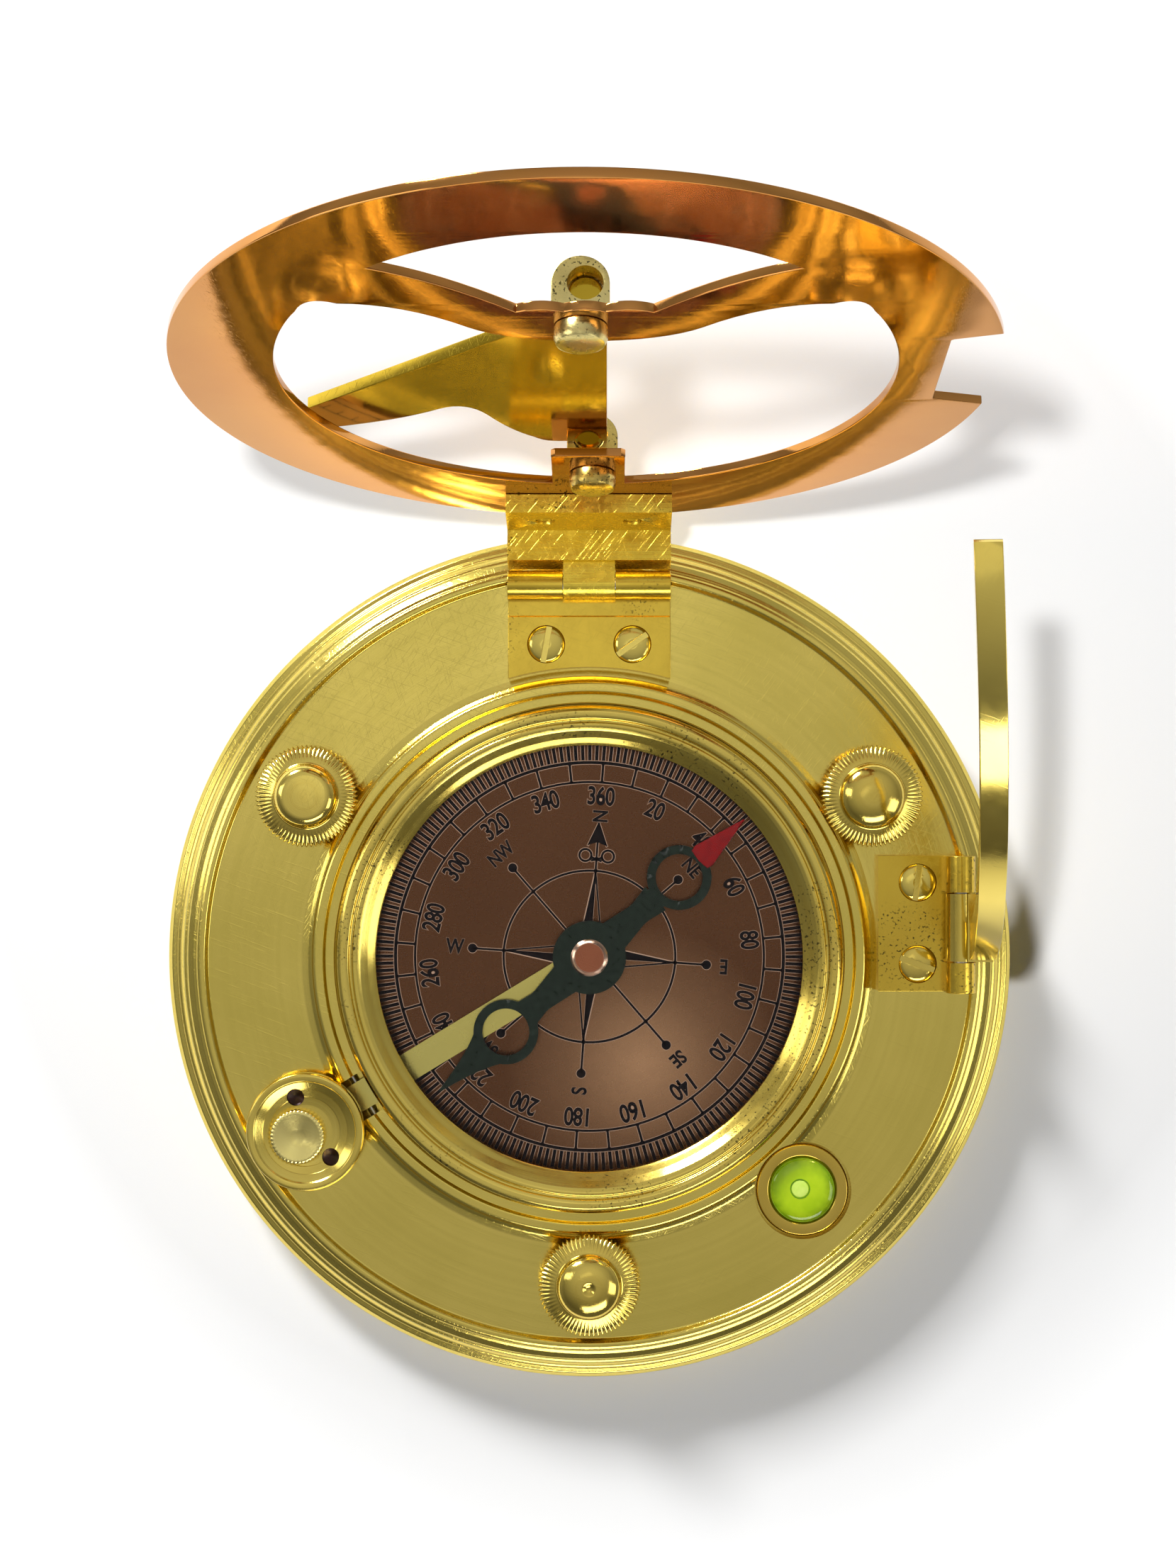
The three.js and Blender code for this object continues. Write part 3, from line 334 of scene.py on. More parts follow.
class Graph:
    """The nodes of a material or of the world. Each helper adds some and returns what they put out."""

    def __init__(self, tree):
        self.nodes, self.links = tree.nodes, tree.links

    def feed(self, made, values):
        """Sets the named inputs of a node, or links them where the value is what another node puts out."""
        for name, value in values.items():
            if isinstance(value, bpy.types.NodeSocket):
                self.links.new(value, made.inputs[name])
            else:
                made.inputs[name].default_value = value

    def calc(self, operation, *values):
        made = self.nodes.new("ShaderNodeMath")
        made.operation = operation
        self.feed(made, dict(enumerate(values)))
        return made.outputs[0]

    def sum_up(self, pairs):
        """Sum of values times weights."""
        total = None
        for value, weight in pairs:
            step = self.calc("MULTIPLY", value, weight)
            total = step if total is None else self.calc("ADD", total, step)
        return total

    def noise(self, vector, scale, detail=3.0, rough=0.55, distortion=0.0, dims="3D"):
        made = self.nodes.new("ShaderNodeTexNoise")
        made.noise_dimensions = dims
        self.feed(made, {"W" if dims == "1D" else "Vector": vector, "Scale": scale, "Detail": detail,
                         "Roughness": rough, "Distortion": distortion})
        return made.outputs["Fac"]

    def ramp(self, value, stops):
        made = self.nodes.new("ShaderNodeValToRGB")
        self.feed(made, {"Fac": value})
        while len(made.color_ramp.elements) < len(stops):
            made.color_ramp.elements.new(0.5)
        for element, (place, colour) in zip(made.color_ramp.elements, stops):
            element.position = place
            if not isinstance(colour, tuple):
                colour = (colour, colour, colour)
            element.color = (*colour, 1)
        return made.outputs["Color"]

    def spread(self, value, low, high, out_low, out_high):
        made = self.nodes.new("ShaderNodeMapRange")
        self.feed(made, {"Value": value, "From Min": low, "From Max": high, "To Min": out_low,
                         "To Max": out_high})
        return made.outputs["Result"]

    def mixed(self, factor, a, b):
        made = self.nodes.new("ShaderNodeMix")
        made.data_type = "RGBA"
        a, b = [(*value, 1) if isinstance(value, tuple) else value for value in (a, b)]
        self.feed(made, {"Factor": factor, "A": a, "B": b})
        return made.outputs["Result"]

    def place(self, scale=(1, 1, 1), turn=(0, 0, 0), shift=(0, 0, 0)):
        """Place in the object's own axes, turned first and stretched afterwards."""
        vector = self.nodes.new("ShaderNodeTexCoord").outputs["Object"]
        if any(turn):
            turned = self.nodes.new("ShaderNodeMapping")
            self.feed(turned, {"Vector": vector, "Rotation": turn})
            vector = turned.outputs["Vector"]
        mapping = self.nodes.new("ShaderNodeMapping")
        self.feed(mapping, {"Vector": vector, "Scale": scale, "Location": shift})
        return mapping.outputs["Vector"]

    def radius(self, centre):
        """Distance from an upright axis, in metres."""
        length = self.nodes.new("ShaderNodeVectorMath")
        length.operation = "LENGTH"
        away = self.place(scale=(1, 1, 0), shift=(-centre[0] * M, -centre[1] * M, 0))
        self.feed(length, {0: away})
        return length.outputs["Value"]

    def relief(self, height, strength, shader):
        """Bump of a tenth of a millimetre."""
        made = self.nodes.new("ShaderNodeBump")
        self.feed(made, {"Strength": strength, "Distance": 0.0001, "Height": height})
        self.feed(shader, {"Normal": made.outputs["Normal"]})

    def background_rays(self):
        """1 for a ray that shows the background: straight on, in a reflection or through glass."""
        path = self.nodes.new("ShaderNodeLightPath").outputs
        seen = self.calc("MAXIMUM", path["Is Camera Ray"], path["Is Glossy Ray"])
        return self.calc("MAXIMUM", seen, path["Is Transmission Ray"])


def material(name):
    made = bpy.data.materials.new(name)
    made.use_nodes = True
    return made, Graph(made.node_tree), made.node_tree.nodes["Principled BSDF"]


# Colours, linear
BRASS = (0.82, 0.64, 0.145)
BRASS_DEEP = (0.56, 0.36, 0.04)
BRASS_GREEN = (0.66, 0.52, 0.10)
COPPER = (0.60, 0.28, 0.075)
COPPER_DEEP = (0.52, 0.21, 0.055)
LEAF = (0.80, 0.56, 0.07)
GNOMON = (0.64, 0.43, 0.036)
GNOMON_DEEP = (0.42, 0.28, 0.016)
DIAL = (0.148, 0.064, 0.029)
DIAL_DEEP = (0.095, 0.039, 0.017)
# Colour of the dial's painted sheen
DIAL_PAINTED_SHEEN = (0.60, 0.33, 0.17)


def metal(name, rough, colour=BRASS, tarnish=BRASS_DEEP, centre=(0, 0), lines=0.0, brush=None,
          scratches=0.25, tarnished=0.5, bump=0.05, spots=0.0, glow=None, waves=0.0):
    """Worked metal: a colour that drifts to its tarnish, hairline scratches, and turned or brushed lines.

    brush is (stretch, turn about Z, depth). glow is a painted sheen: (middle in mm, reach in mm, colour), with
    the colour lighter towards its middle.
    """
    made, graph, shader = material(name)
    plain = graph.place()
    cloud = graph.noise(plain, 55.0, 3.0, 0.5, 0.1)
    tone = graph.mixed(graph.ramp(cloud, [(0.38, 0.0), (0.72, tarnished)]), colour, tarnish)
    heights = []
    for i, angle in enumerate((20, 75, 128)):
        along = graph.place((90 + 25 * i, 5200, 1600), (0.2 * i, 0.1, angle * RAD))
        scratch = graph.noise(along, 1.0, 2.0, 0.5, 0.3)
        heights.append((graph.ramp(scratch, [(0.62, 0.0), (0.7, 1.0)]), scratches))
    if waves:
        heights.append((graph.noise(plain, 190.0, 1.0, 0.4), waves))
    if lines:
        distance = graph.radius(centre)
        heights.append((graph.noise(distance, 9000.0, 2.0, 0.7, dims="1D"), lines))
        band = graph.noise(distance, 900.0, 2.0, 0.6, dims="1D")
        tone = graph.mixed(graph.ramp(band, [(0.3, 0.0), (0.8, 0.35)]), tone, tarnish)
    if brush:
        stretch, turn, depth = brush
        heights.append((graph.noise(graph.place(stretch, (0, 0, turn)), 1.0, 3.0, 0.65), depth))
    if spots:
        pits = graph.ramp(graph.noise(plain, 2600.0, 2.0, 0.5), [(0.6, 0.0), (0.67, 1.0)])
        where = graph.ramp(graph.noise(plain, 60.0, 2.0, 0.5), [(0.5, 0.0), (0.58, 1.0)])
        dark = graph.spread(graph.calc("MULTIPLY", pits, where), 0.0, 1.0, 0.0, spots)
        tone = graph.mixed(dark, tone, (0.05, 0.04, 0.012))
    # Painted sheen: the colour turns lighter towards a middle point, standing in for a broad highlight
    if glow:
        middle, reach, sheen_colour = glow
        near = graph.spread(graph.radius(middle), 0.0, reach * M, 1.0, 0.0)
        tone = graph.mixed(graph.ramp(near, [(0.0, 0.0), (0.45, 0.3), (1.0, 1.0)]), tone, sheen_colour)
    smear = graph.noise(plain, 700.0, 3.0, 0.6, 0.2)
    graph.feed(shader, {"Base Color": tone, "Metallic": 1.0,
                        "Roughness": graph.spread(smear, 0.3, 0.75, rough * 0.85, rough * 1.2)})
    graph.relief(graph.sum_up(heights), bump, shader)
    return made


def dull(name, colour, other, rough, metallic=0.0, scale=900.0, bump=0.1, gloss=0.5):
    """Lacquer, ink, painted shade or painted highlight that wavers between two colours."""
    made, graph, shader = material(name)
    grain = graph.noise(graph.place(), scale, 4.0, 0.6)
    tone = graph.mixed(graph.ramp(grain, [(0.35, 0.0), (0.7, 1.0)]), colour, other)
    graph.feed(shader, {"Base Color": tone, "Metallic": metallic, "Specular IOR Level": gloss,
                        "Roughness": graph.spread(grain, 0.2, 0.8, rough * 0.7, rough * 1.3)})
    graph.relief(grain, bump, shader)
    return made


# Metals and other skins
satin = metal("satin_brass", 0.15, tarnish=BRASS_GREEN, lines=0.5, scratches=0.6, tarnished=0.7, bump=0.09)
bezel_metal = metal("bezel_brass", 0.15, lines=0.5, tarnished=0.35, spots=0.8)
bright = metal("bright_brass", 0.12, scratches=0.4, tarnished=0.4)
lock_metal = metal("lock_brass", 0.16, centre=LOCK_CENTRE, lines=0.7, tarnished=0.4, bump=0.07)
boss_metal = metal("boss_brass", 0.22, (0.9, 0.76, 0.28), BRASS, LOCK_CENTRE, 0.7, tarnished=0.3, bump=0.1)
leaf_metal = metal("leaf_brass", 0.2, LEAF, brush=((400, 60, 400), 0.1, 0.7), tarnished=0.8, bump=0.1,
                   spots=0.9)
# Lighter copy of the leaves' brass for the bracket's web: painted light that makes up for the darker reflection
# its slope gets
web_lit_metal = metal("web_lit_brass", 0.26, (0.9, 0.66, 0.08), brush=((20, 2600, 2600), 0, 1.2), tarnished=0.8,
                  bump=0.35, spots=0.9)
arc_metal = metal("arc_brass", 0.13, brush=((400, 40, 40), 0, 0.5), bump=0.06)
gnomon_metal = metal("gnomon_brass", 0.1, GNOMON, GNOMON_DEEP, brush=((60, 300, 300), 0, 0.5), tarnished=0.7,
                     bump=0.06, waves=1.5)
copper = metal("ring_copper", 0.07, COPPER, COPPER_DEEP, scratches=0.2, tarnished=0.55, bump=0.03, waves=6.0)
post_metal = metal("post_brass", 0.25, (0.72, 0.6, 0.24), brush=((900, 900, 60), 0, 1.0), tarnished=0.7,
                   bump=0.15, spots=0.9)
arm_metal = metal("arm_brass", 0.25, (0.68, 0.58, 0.16), BRASS_GREEN, brush=((80, 900, 80), -0.55, 0.8),
                  tarnished=0.6, bump=0.1)
steel = metal("plain_steel", 0.3, (0.5, 0.5, 0.48), (0.25, 0.23, 0.2))
cap_copper = metal("cap_copper", 0.4, (0.38, 0.13, 0.065), (0.24, 0.07, 0.03), scratches=0.7, bump=0.15)
# The dial's lighter coppery patch below and right of its middle is a painted sheen
dial_metal = metal("dial_copper", 0.27, DIAL, DIAL_DEEP, brush=((70, 2600, 400), -0.7, 1.0), scratches=0.3,
                   tarnished=0.3, bump=0.07, glow=((7.0, -14.0), 18.0, DIAL_PAINTED_SHEEN))
pale_edge = metal("pale_copper", 0.2, (0.72, 0.48, 0.34), (0.5, 0.3, 0.2), bump=0.02)
ink = dull("dial_ink", (0.004, 0.003, 0.004), (0.012, 0.007, 0.006), 0.4, bump=0.05, gloss=0.1)
black = dull("needle_black", (0.006, 0.011, 0.006), (0.014, 0.024, 0.015), 0.32, 0.0, 1400.0, 0.12, 0.22)
# Near-black filling for the lock disc's holes: painted shade
hole_shade = dull("pit_painted_shade", (0.035, 0.008, 0.004), (0.012, 0.004, 0.002), 0.35, 0.4)
red = dull("needle_red", (0.30, 0.003, 0.003), (0.2, 0.002, 0.003), 0.2, 0.0, 1200.0, 0.15, 0.3)


def clear_glass():
    """Clear cover glass with faint smears: mirror-like only where Fresnel makes it so."""
    made, graph, shader = material("cover_glass")
    nodes = graph.nodes
    smear = graph.noise(graph.place(), 120.0, 4.0, 0.6, 1.0)
    graph.feed(shader, {"Base Color": (1, 1, 1, 1), "Metallic": 1.0,
                        "Roughness": graph.spread(smear, 0.3, 0.8, 0.01, 0.05)})
    through = nodes.new("ShaderNodeBsdfTransparent")
    edge = nodes.new("ShaderNodeFresnel")
    graph.feed(edge, {"IOR": 1.13})
    both = nodes.new("ShaderNodeMixShader")
    graph.feed(both, {"Fac": edge.outputs["Fac"], 1: through.outputs["BSDF"], 2: shader.outputs["BSDF"]})
    graph.feed(nodes["Material Output"], {"Surface": both.outputs["Shader"]})
    return made


def spirit():
    """Yellow-green liquid with painted shade towards the cup's wall and a faint painted glow."""
    made, graph, shader = material("vial_spirit")
    # Painted shade: the liquid turns darker towards the cup's wall
    out = graph.spread(graph.radius(VIAL_CENTRE), 0.0, 4.4 * M, 0.0, 1.0)
    tone = graph.ramp(out, [(0.0, (0.42, 0.60, 0.0)), (0.6, (0.32, 0.5, 0.0)), (0.95, (0.11, 0.22, 0.0))])
    cloud = graph.spread(graph.noise(graph.place(), 500.0, 2.0, 0.5), 0.4, 0.7, 0.0, 0.5)
    # The emission is a painted glow
    graph.feed(shader, {"Base Color": graph.mixed(cloud, tone, (0.5, 0.66, 0.01)), "Roughness": 0.05,
                        "Specular IOR Level": 0.25, "Coat Weight": 0.4, "Coat Roughness": 0.03,
                        "Emission Color": (0.4, 0.6, 0.0, 1), "Emission Strength": 0.12})
    return made


glass = clear_glass()
green = spirit()
# The air bubble's light face is a painted highlight and its dark rim is painted shade
bubble_painted_highlight = dull("bubble_painted_highlight", (0.72, 0.92, 0.18), (0.6, 0.85, 0.1), 0.05, bump=0.0)
bubble_rim_shade = dull("bubble_rim_shade", (0.10, 0.26, 0.0), (0.16, 0.34, 0.0), 0.1, bump=0.0)


def flat_faces(piece):
    """Large flat faces keep their own shading beside rounded edges."""
    step = piece.modifiers.new("flats", "WEIGHTED_NORMAL")
    step.mode = "FACE_AREA"
    step.weight = 50
    step.keep_sharp = True
    return baked(piece)


# Each of two lamps casts the shadow of one of these groups
shadows = {"low": bpy.data.collections.new("low_pieces"), "tall": bpy.data.collections.new("tall_pieces")}


def dress(piece, skin, body, slot, *nodes_replaced):
    tall = body in ("hour_ring_assembly", "gnomon_plate", "arc")
    shadows["tall" if tall else "low"].objects.link(piece)
    if any(face.use_smooth for face in piece.data.polygons):
        flat_faces(piece)
    piece.data.materials.clear()
    piece.data.materials.append(skin)
    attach(piece, body)
    if nodes_replaced:
        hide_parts(*nodes_replaced)
    return piece


def coat(name, skin):
    """A CAD solid that stays, with a better material."""
    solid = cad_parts[name]
    solid.data.materials.clear()
    solid.data.materials.append(skin)


# Base dish with the rim's mouldings and the pockets for what it carries
def make_base():
    profile = [
        (0, 0), (54.3, 0), (55.0, 0.8), (55.0, 1.9), (54.4, 2.5), (53.75, 2.6), (53.65, 2.95), (53.25, 3.05),
        (53.15, 3.5), (52.75, 3.85), (52.65, 4.15), (52.3, 4.2), (52.1, 4.55), (51.3, 5.05), (50.85, 5.15),
        (50.75, 5.45), (50.35, 5.6), (49.85, 5.6), (49.6, 5.35), (49.35, 5.0), (37.25, 5.0), (36.4, 5.15),
        (35.85, 5.45), (35.75, 5.75), (35.45, PLINTH_Z), (34.5, PLINTH_Z), (34.3, 5.75), (34.2, LEDGE_Z),
        (WELL_R, LEDGE_Z), (WELL_R, WELL_FLOOR_Z), (0, WELL_FLOOR_Z),
    ]
    dish = lathe("base_turning", profile, 240, round_by=0.14)
    lock_cuts = [
        box("cut", WELL_R - 2, 39.8, -ARM_SLOT, ARM_SLOT, 1.9, 12),
        lathe("cut", [(3.3, 3.5), (5.3, 3.5), (5.3, 6), (3.3, 6), (3.3, 3.5)], 64, (LOCK_AT, 0)),
        rod("cut", 1.8, -1, 6, 48, (LOCK_AT, 0)),
        rod("cut", 3.4, -1, 1.2, 48, (LOCK_AT, 0)),
    ]
    for tool in lock_cuts:
        turn_z(tool, LOCK_ANGLE)
    holes = [rod("cut", SHANK_HOLE_R, -1, 8, 48, polar(LEVEL_AT, angle)) for angle in LEVEL_ANGLES]
    holes.append(rod("cut", VIAL_POCKET_R, VIAL_FLOOR_Z, 9, 96, VIAL_CENTRE))
    holes += [rod("cut", 2.1, -1, 0.9, 32, polar(CASE_SCREWS_AT, angle)) for angle in CASE_SCREW_ANGLES]
    combine(dish, lock_cuts + holes)
    return dress(dish, satin, "base", "satin_brass", "base_dish")


make_base()


# Compass case, bezel, glass and dial
def make_compass():
    case = lathe("case_turning", [
        (0, WELL_FLOOR_Z), (CASE_R, WELL_FLOOR_Z), (CASE_R, GLASS_TOP_Z), (29.9, GLASS_TOP_Z), (29.9, GLASS_Z),
        (DIAL_R, GLASS_Z), (DIAL_R, CASE_FLOOR_Z), (0, CASE_FLOOR_Z),
    ], 192, round_by=0.05)
    slot = box("cut", DIAL_R - 4, CASE_R + 3, -ARM_SLOT, ARM_SLOT, ARM_Z - 0.3, ARM_TOP_Z + 0.7)
    holes = [rod("cut", 1.0, 1, 3, 32, polar(CASE_SCREWS_AT, angle)) for angle in CASE_SCREW_ANGLES]
    combine(case, [turn_z(slot, LOCK_ANGLE)] + holes)
    dress(case, satin, "base", "satin_brass", "compass_case")
    top = BEZEL_TOP_Z
    bezel = lathe("bezel_turning", [
        (27.5, GLASS_TOP_Z), (CASE_R, GLASS_TOP_Z), (CASE_R, top - 1.0), (32.62, top - 0.75), (32.3, top - 0.2),
        (31.9, top), (31.3, top - 0.02), (30.9, top - 0.12), (30.78, top - 0.42), (30.5, top - 0.45),
        (30.3, top - 0.28), (29.9, top - 0.3), (29.4, top - 0.5), (28.5, top - 1.15), (27.9, top - 1.5),
        (27.5, top - 1.75), (27.5, GLASS_TOP_Z),
    ], 240, round_by=0.1)
    dress(bezel, bezel_metal, "base", "bright_brass", "bezel")
    cover = lathe("glass_disc", [
        (0, GLASS_Z), (29.5, GLASS_Z), (29.6, GLASS_Z + 0.1), (29.6, GLASS_TOP_Z - 0.1), (29.5, GLASS_TOP_Z),
        (0, GLASS_TOP_Z),
    ], 192)
    dress(cover, glass, "base", "clear_glass", "compass_glass")


make_compass()


# Dial: engraved and inked scale. Each mark is a pale edge with ink on it
class Marks:
    """Flat marks at one height, gathered into one mesh. Each is wider all round by what grow says."""

    def __init__(self, height, grow):
        self.bm = bmesh.new()
        self.z = height * M
        self.grow = grow

    def polygon(self, points):
        verts = [self.bm.verts.new((x * M, y * M, self.z)) for x, y in points]
        self.bm.faces.new(verts)

    def line(self, a, b, width):
        a, b = Vector(a), Vector(b)
        along = (b - a).normalized()
        side = Vector((-along.y, along.x)) * (width / 2 + self.grow)
        a = a - along * self.grow
        b = b + along * self.grow
        self.polygon([a + side, a - side, b - side, b + side])

    def arc(self, r, width, start=0, stop=360, steps=240, at=(0, 0)):
        inner, outer = r - width / 2 - self.grow, r + width / 2 + self.grow
        count = max(8, int(steps * abs(stop - start) / 360))
        rows = []
        for i in range(count + 1):
            angle = start + (stop - start) * i / count
            rows.append([beside(at, q, angle) for q in (inner, outer)])
        for low, high in zip(rows, rows[1:]):
            self.polygon([low[0], low[1], high[1], high[0]])

    def dot(self, at, r):
        self.polygon(circle(r + self.grow, 28, at))

    def done(self, name, skin, body, slot, place=None):
        bmesh.ops.recalc_face_normals(self.bm, faces=self.bm.faces)
        for face in self.bm.faces:
            if face.normal.z < 0:
                face.normal_flip()
        mesh = meshed(self.bm, name)
        if place is not None:
            mesh.transform(place)
        return dress(link(mesh, name), skin, body, slot)


DIAL_TURN = 90 - 4.1
NUMBERS = {"size": 3.3, "squeeze": 0.76, "weight": 0.085, "edge": 0.06}
NUMBERS_R = 20.85
NAMES_R = 17.6
NORTH_NAME_R = 18.35
BOX_R = (22.75, 25.3)
TICK_R = (25.6, 27.9)
STAR_R = 11.2
STAR_WAIST_R = 4.4
SPOKE_TIP_R = 15.3
ARROW_R = 17.5
ARROW_FOOT_R = 14.55


def bearing(r, degrees):
    """Place on the dial at a compass bearing."""
    return polar(r, DIAL_TURN - degrees)


def letters(word, r, degrees, size, extra=0.0, squeeze=0.8, weight=0.08, edge=0.03):
    """A word on the dial with its feet to the middle, as a pale edge with ink on it."""
    for grow, height, skin, kind in ((edge, 0.012, pale_edge, "edge"), (0.0, 0.024, ink, "ink")):
        x, y = bearing(r, degrees)
        place = (Matrix.Translation((x * M, y * M, (DIAL_TOP_Z + height) * M))
                 @ Matrix.Rotation((DIAL_TURN - 90 - degrees + extra) * RAD, 4, "Z"))
        piece = word_piece(f"dial_{kind}_{word}_{degrees}", word, size, place, squeeze, grow + weight, 0.96)
        dress(piece, skin, "base", "dial_copper")


def draw_star(marks):
    """Eight bearings, of which the main four carry a point. Each point is half ink and half bare."""
    for angle in range(0, 360, 45):
        if angle % 90:
            marks.line(bearing(4, angle), bearing(15.2, angle), 0.28)
        else:
            marks.line(bearing(11, angle), bearing(SPOKE_TIP_R, angle), 0.28)
        if angle:
            marks.dot(bearing(SPOKE_TIP_R, angle), 0.6)
    for angle in range(0, 360, 90):
        tip, root = bearing(STAR_R, angle), bearing(STAR_WAIST_R - 0.1, angle)
        left, right = bearing(STAR_WAIST_R, angle - 14), bearing(STAR_WAIST_R, angle + 14)
        if marks.grow:
            for corner in (left, right, root):
                marks.line(corner, tip, 0.14)
        else:
            marks.polygon([root, left, tip])
            marks.line(right, tip, 0.22)
            marks.line(root, tip, 0.2)


def draw_north_arrow(marks):
    """Inked arrowhead with a curl at each side of its stem."""
    tip, notch = bearing(ARROW_R, 0), bearing(14.95, 0)
    if not marks.grow:
        marks.polygon([tip, bearing(ARROW_FOOT_R, -4.9), notch])
        marks.polygon([tip, notch, bearing(ARROW_FOOT_R, 4.9)])
    for side in (-1, 1):
        marks.line(tip, bearing(14.5, 4.9 * side), 0.16)
        marks.arc(0.78, 0.3, at=bearing(13.25, 6.4 * side), steps=32)
        marks.line(bearing(13.0, 3.4 * side), bearing(12.5, -3.2 * side), 0.28)


def make_dial():
    inner, outer = BOX_R
    for grow, height, skin, name in ((0.07, 0.008, pale_edge, "dial_line_edges"),
                                     (0.0, 0.022, ink, "dial_lines")):
        marks = Marks(DIAL_TOP_Z + height, grow)
        for r, width in ((inner, 0.3), (outer, 0.4), (STAR_R, 0.3)):
            marks.arc(r, width)
        for angle in range(0, 360, 10):
            marks.line(bearing(inner + 0.05, angle), bearing(outer, angle), 0.32)
        for angle in range(0, 360, 2):
            marks.line(bearing(TICK_R[0], angle), bearing(TICK_R[1], angle), 0.44)
        draw_star(marks)
        draw_north_arrow(marks)
        marks.done(name, skin, "base", "dial_copper")
    for angle in range(0, 360, 20):
        letters(str(angle or 360), NUMBERS_R, angle, **NUMBERS)
    for i, name in enumerate(("N", "NE", "E", "SE", "S", "SW", "W", "NW")):
        r = NAMES_R if i else NORTH_NAME_R
        if i % 2:
            letters(name, r, i * 45, 2.5)
        else:
            letters(name, r, i * 45, 2.7, extra=-90)


coat("dial_card", dial_metal)
make_dial()
coat("needle_pivot", steel)
coat("fulcrum_pin", steel)


# Needle, its red tip and its cap
def make_needle():
    top = NEEDLE_TOP_Z
    north, south = 15.6, -14.5
    steel_bar = box("needle_bar", south, north, -1.5, 1.5, NEEDLE_Z, top)
    neck = [(-3.9, 2.2), (-8.5, 1.45), (-11.5, 2.0), (-11.5, -2.0), (-8.5, -1.45), (-3.9, -2.2)]
    other_neck = [(-x, y) for x, y in neck]
    tail = [(south - 2.6, 3.0)] + curve_between((south - 2.6, 3.0), (south - 5.2, 1.3), (-26.0, 0.12), 8)
    tail += [(x, -y) for x, y in reversed(tail)]
    tongue = [(north + 3.4, 1.5), (north + 6.4, 1.0), (north + 6.4, -1.0), (north + 3.4, -1.5)]
    discs = ((4.75, 0, 96), (4.2, north, 72), (4.2, south, 72))
    parts = [rod("cut", r, NEEDLE_Z, top, sides, (x, 0)) for r, x, sides in discs]
    parts += [plate("cut", [line], NEEDLE_Z, top, 0.001) for line in (neck, other_neck, tail, tongue)]
    combine(steel_bar, parts, "UNION")
    openings = ((3.05, north), (3.05, south), (2.05, 0))
    combine(steel_bar, [rod("cut", r, NEEDLE_Z - 1, top + 1, 64, (x, 0)) for r, x in openings])
    bevelled(steel_bar, 0.13)
    turn_z(steel_bar, NEEDLE_ANGLE)
    dress(steel_bar, black, "magnet_needle", "needle_black", "needle")
    tip = [(19.1, 1.55), (19.9, 1.72), (26.9, 0.1), (26.9, -0.1), (19.9, -1.72), (19.1, -1.55), (18.9, 0)]
    flag = plate("needle_red_tip", [tip], NEEDLE_Z + 0.1, top + 0.12, 0.16)
    turn_z(flag, NEEDLE_ANGLE)
    dress(flag, red, "magnet_needle", "needle_black")
    cap = lathe("needle_cap_turning", [
        (0, NEEDLE_Z + 0.45), (0.9, NEEDLE_Z), (1.95, NEEDLE_Z), (1.95, top), (2.35, top), (2.4, top + 0.3),
        (2.2, top + 0.42), (1.95, top + 0.3), (1.9, top + 0.22), (0, top + 0.22),
    ], 64)
    dress(cap, pale_edge, "magnet_needle", "cap_copper", "needle_cap")
    face = rod("needle_cap_face", 1.86, top + 0.2, top + 0.3, 48)
    dress(face, cap_copper, "magnet_needle", "cap_copper")


make_needle()


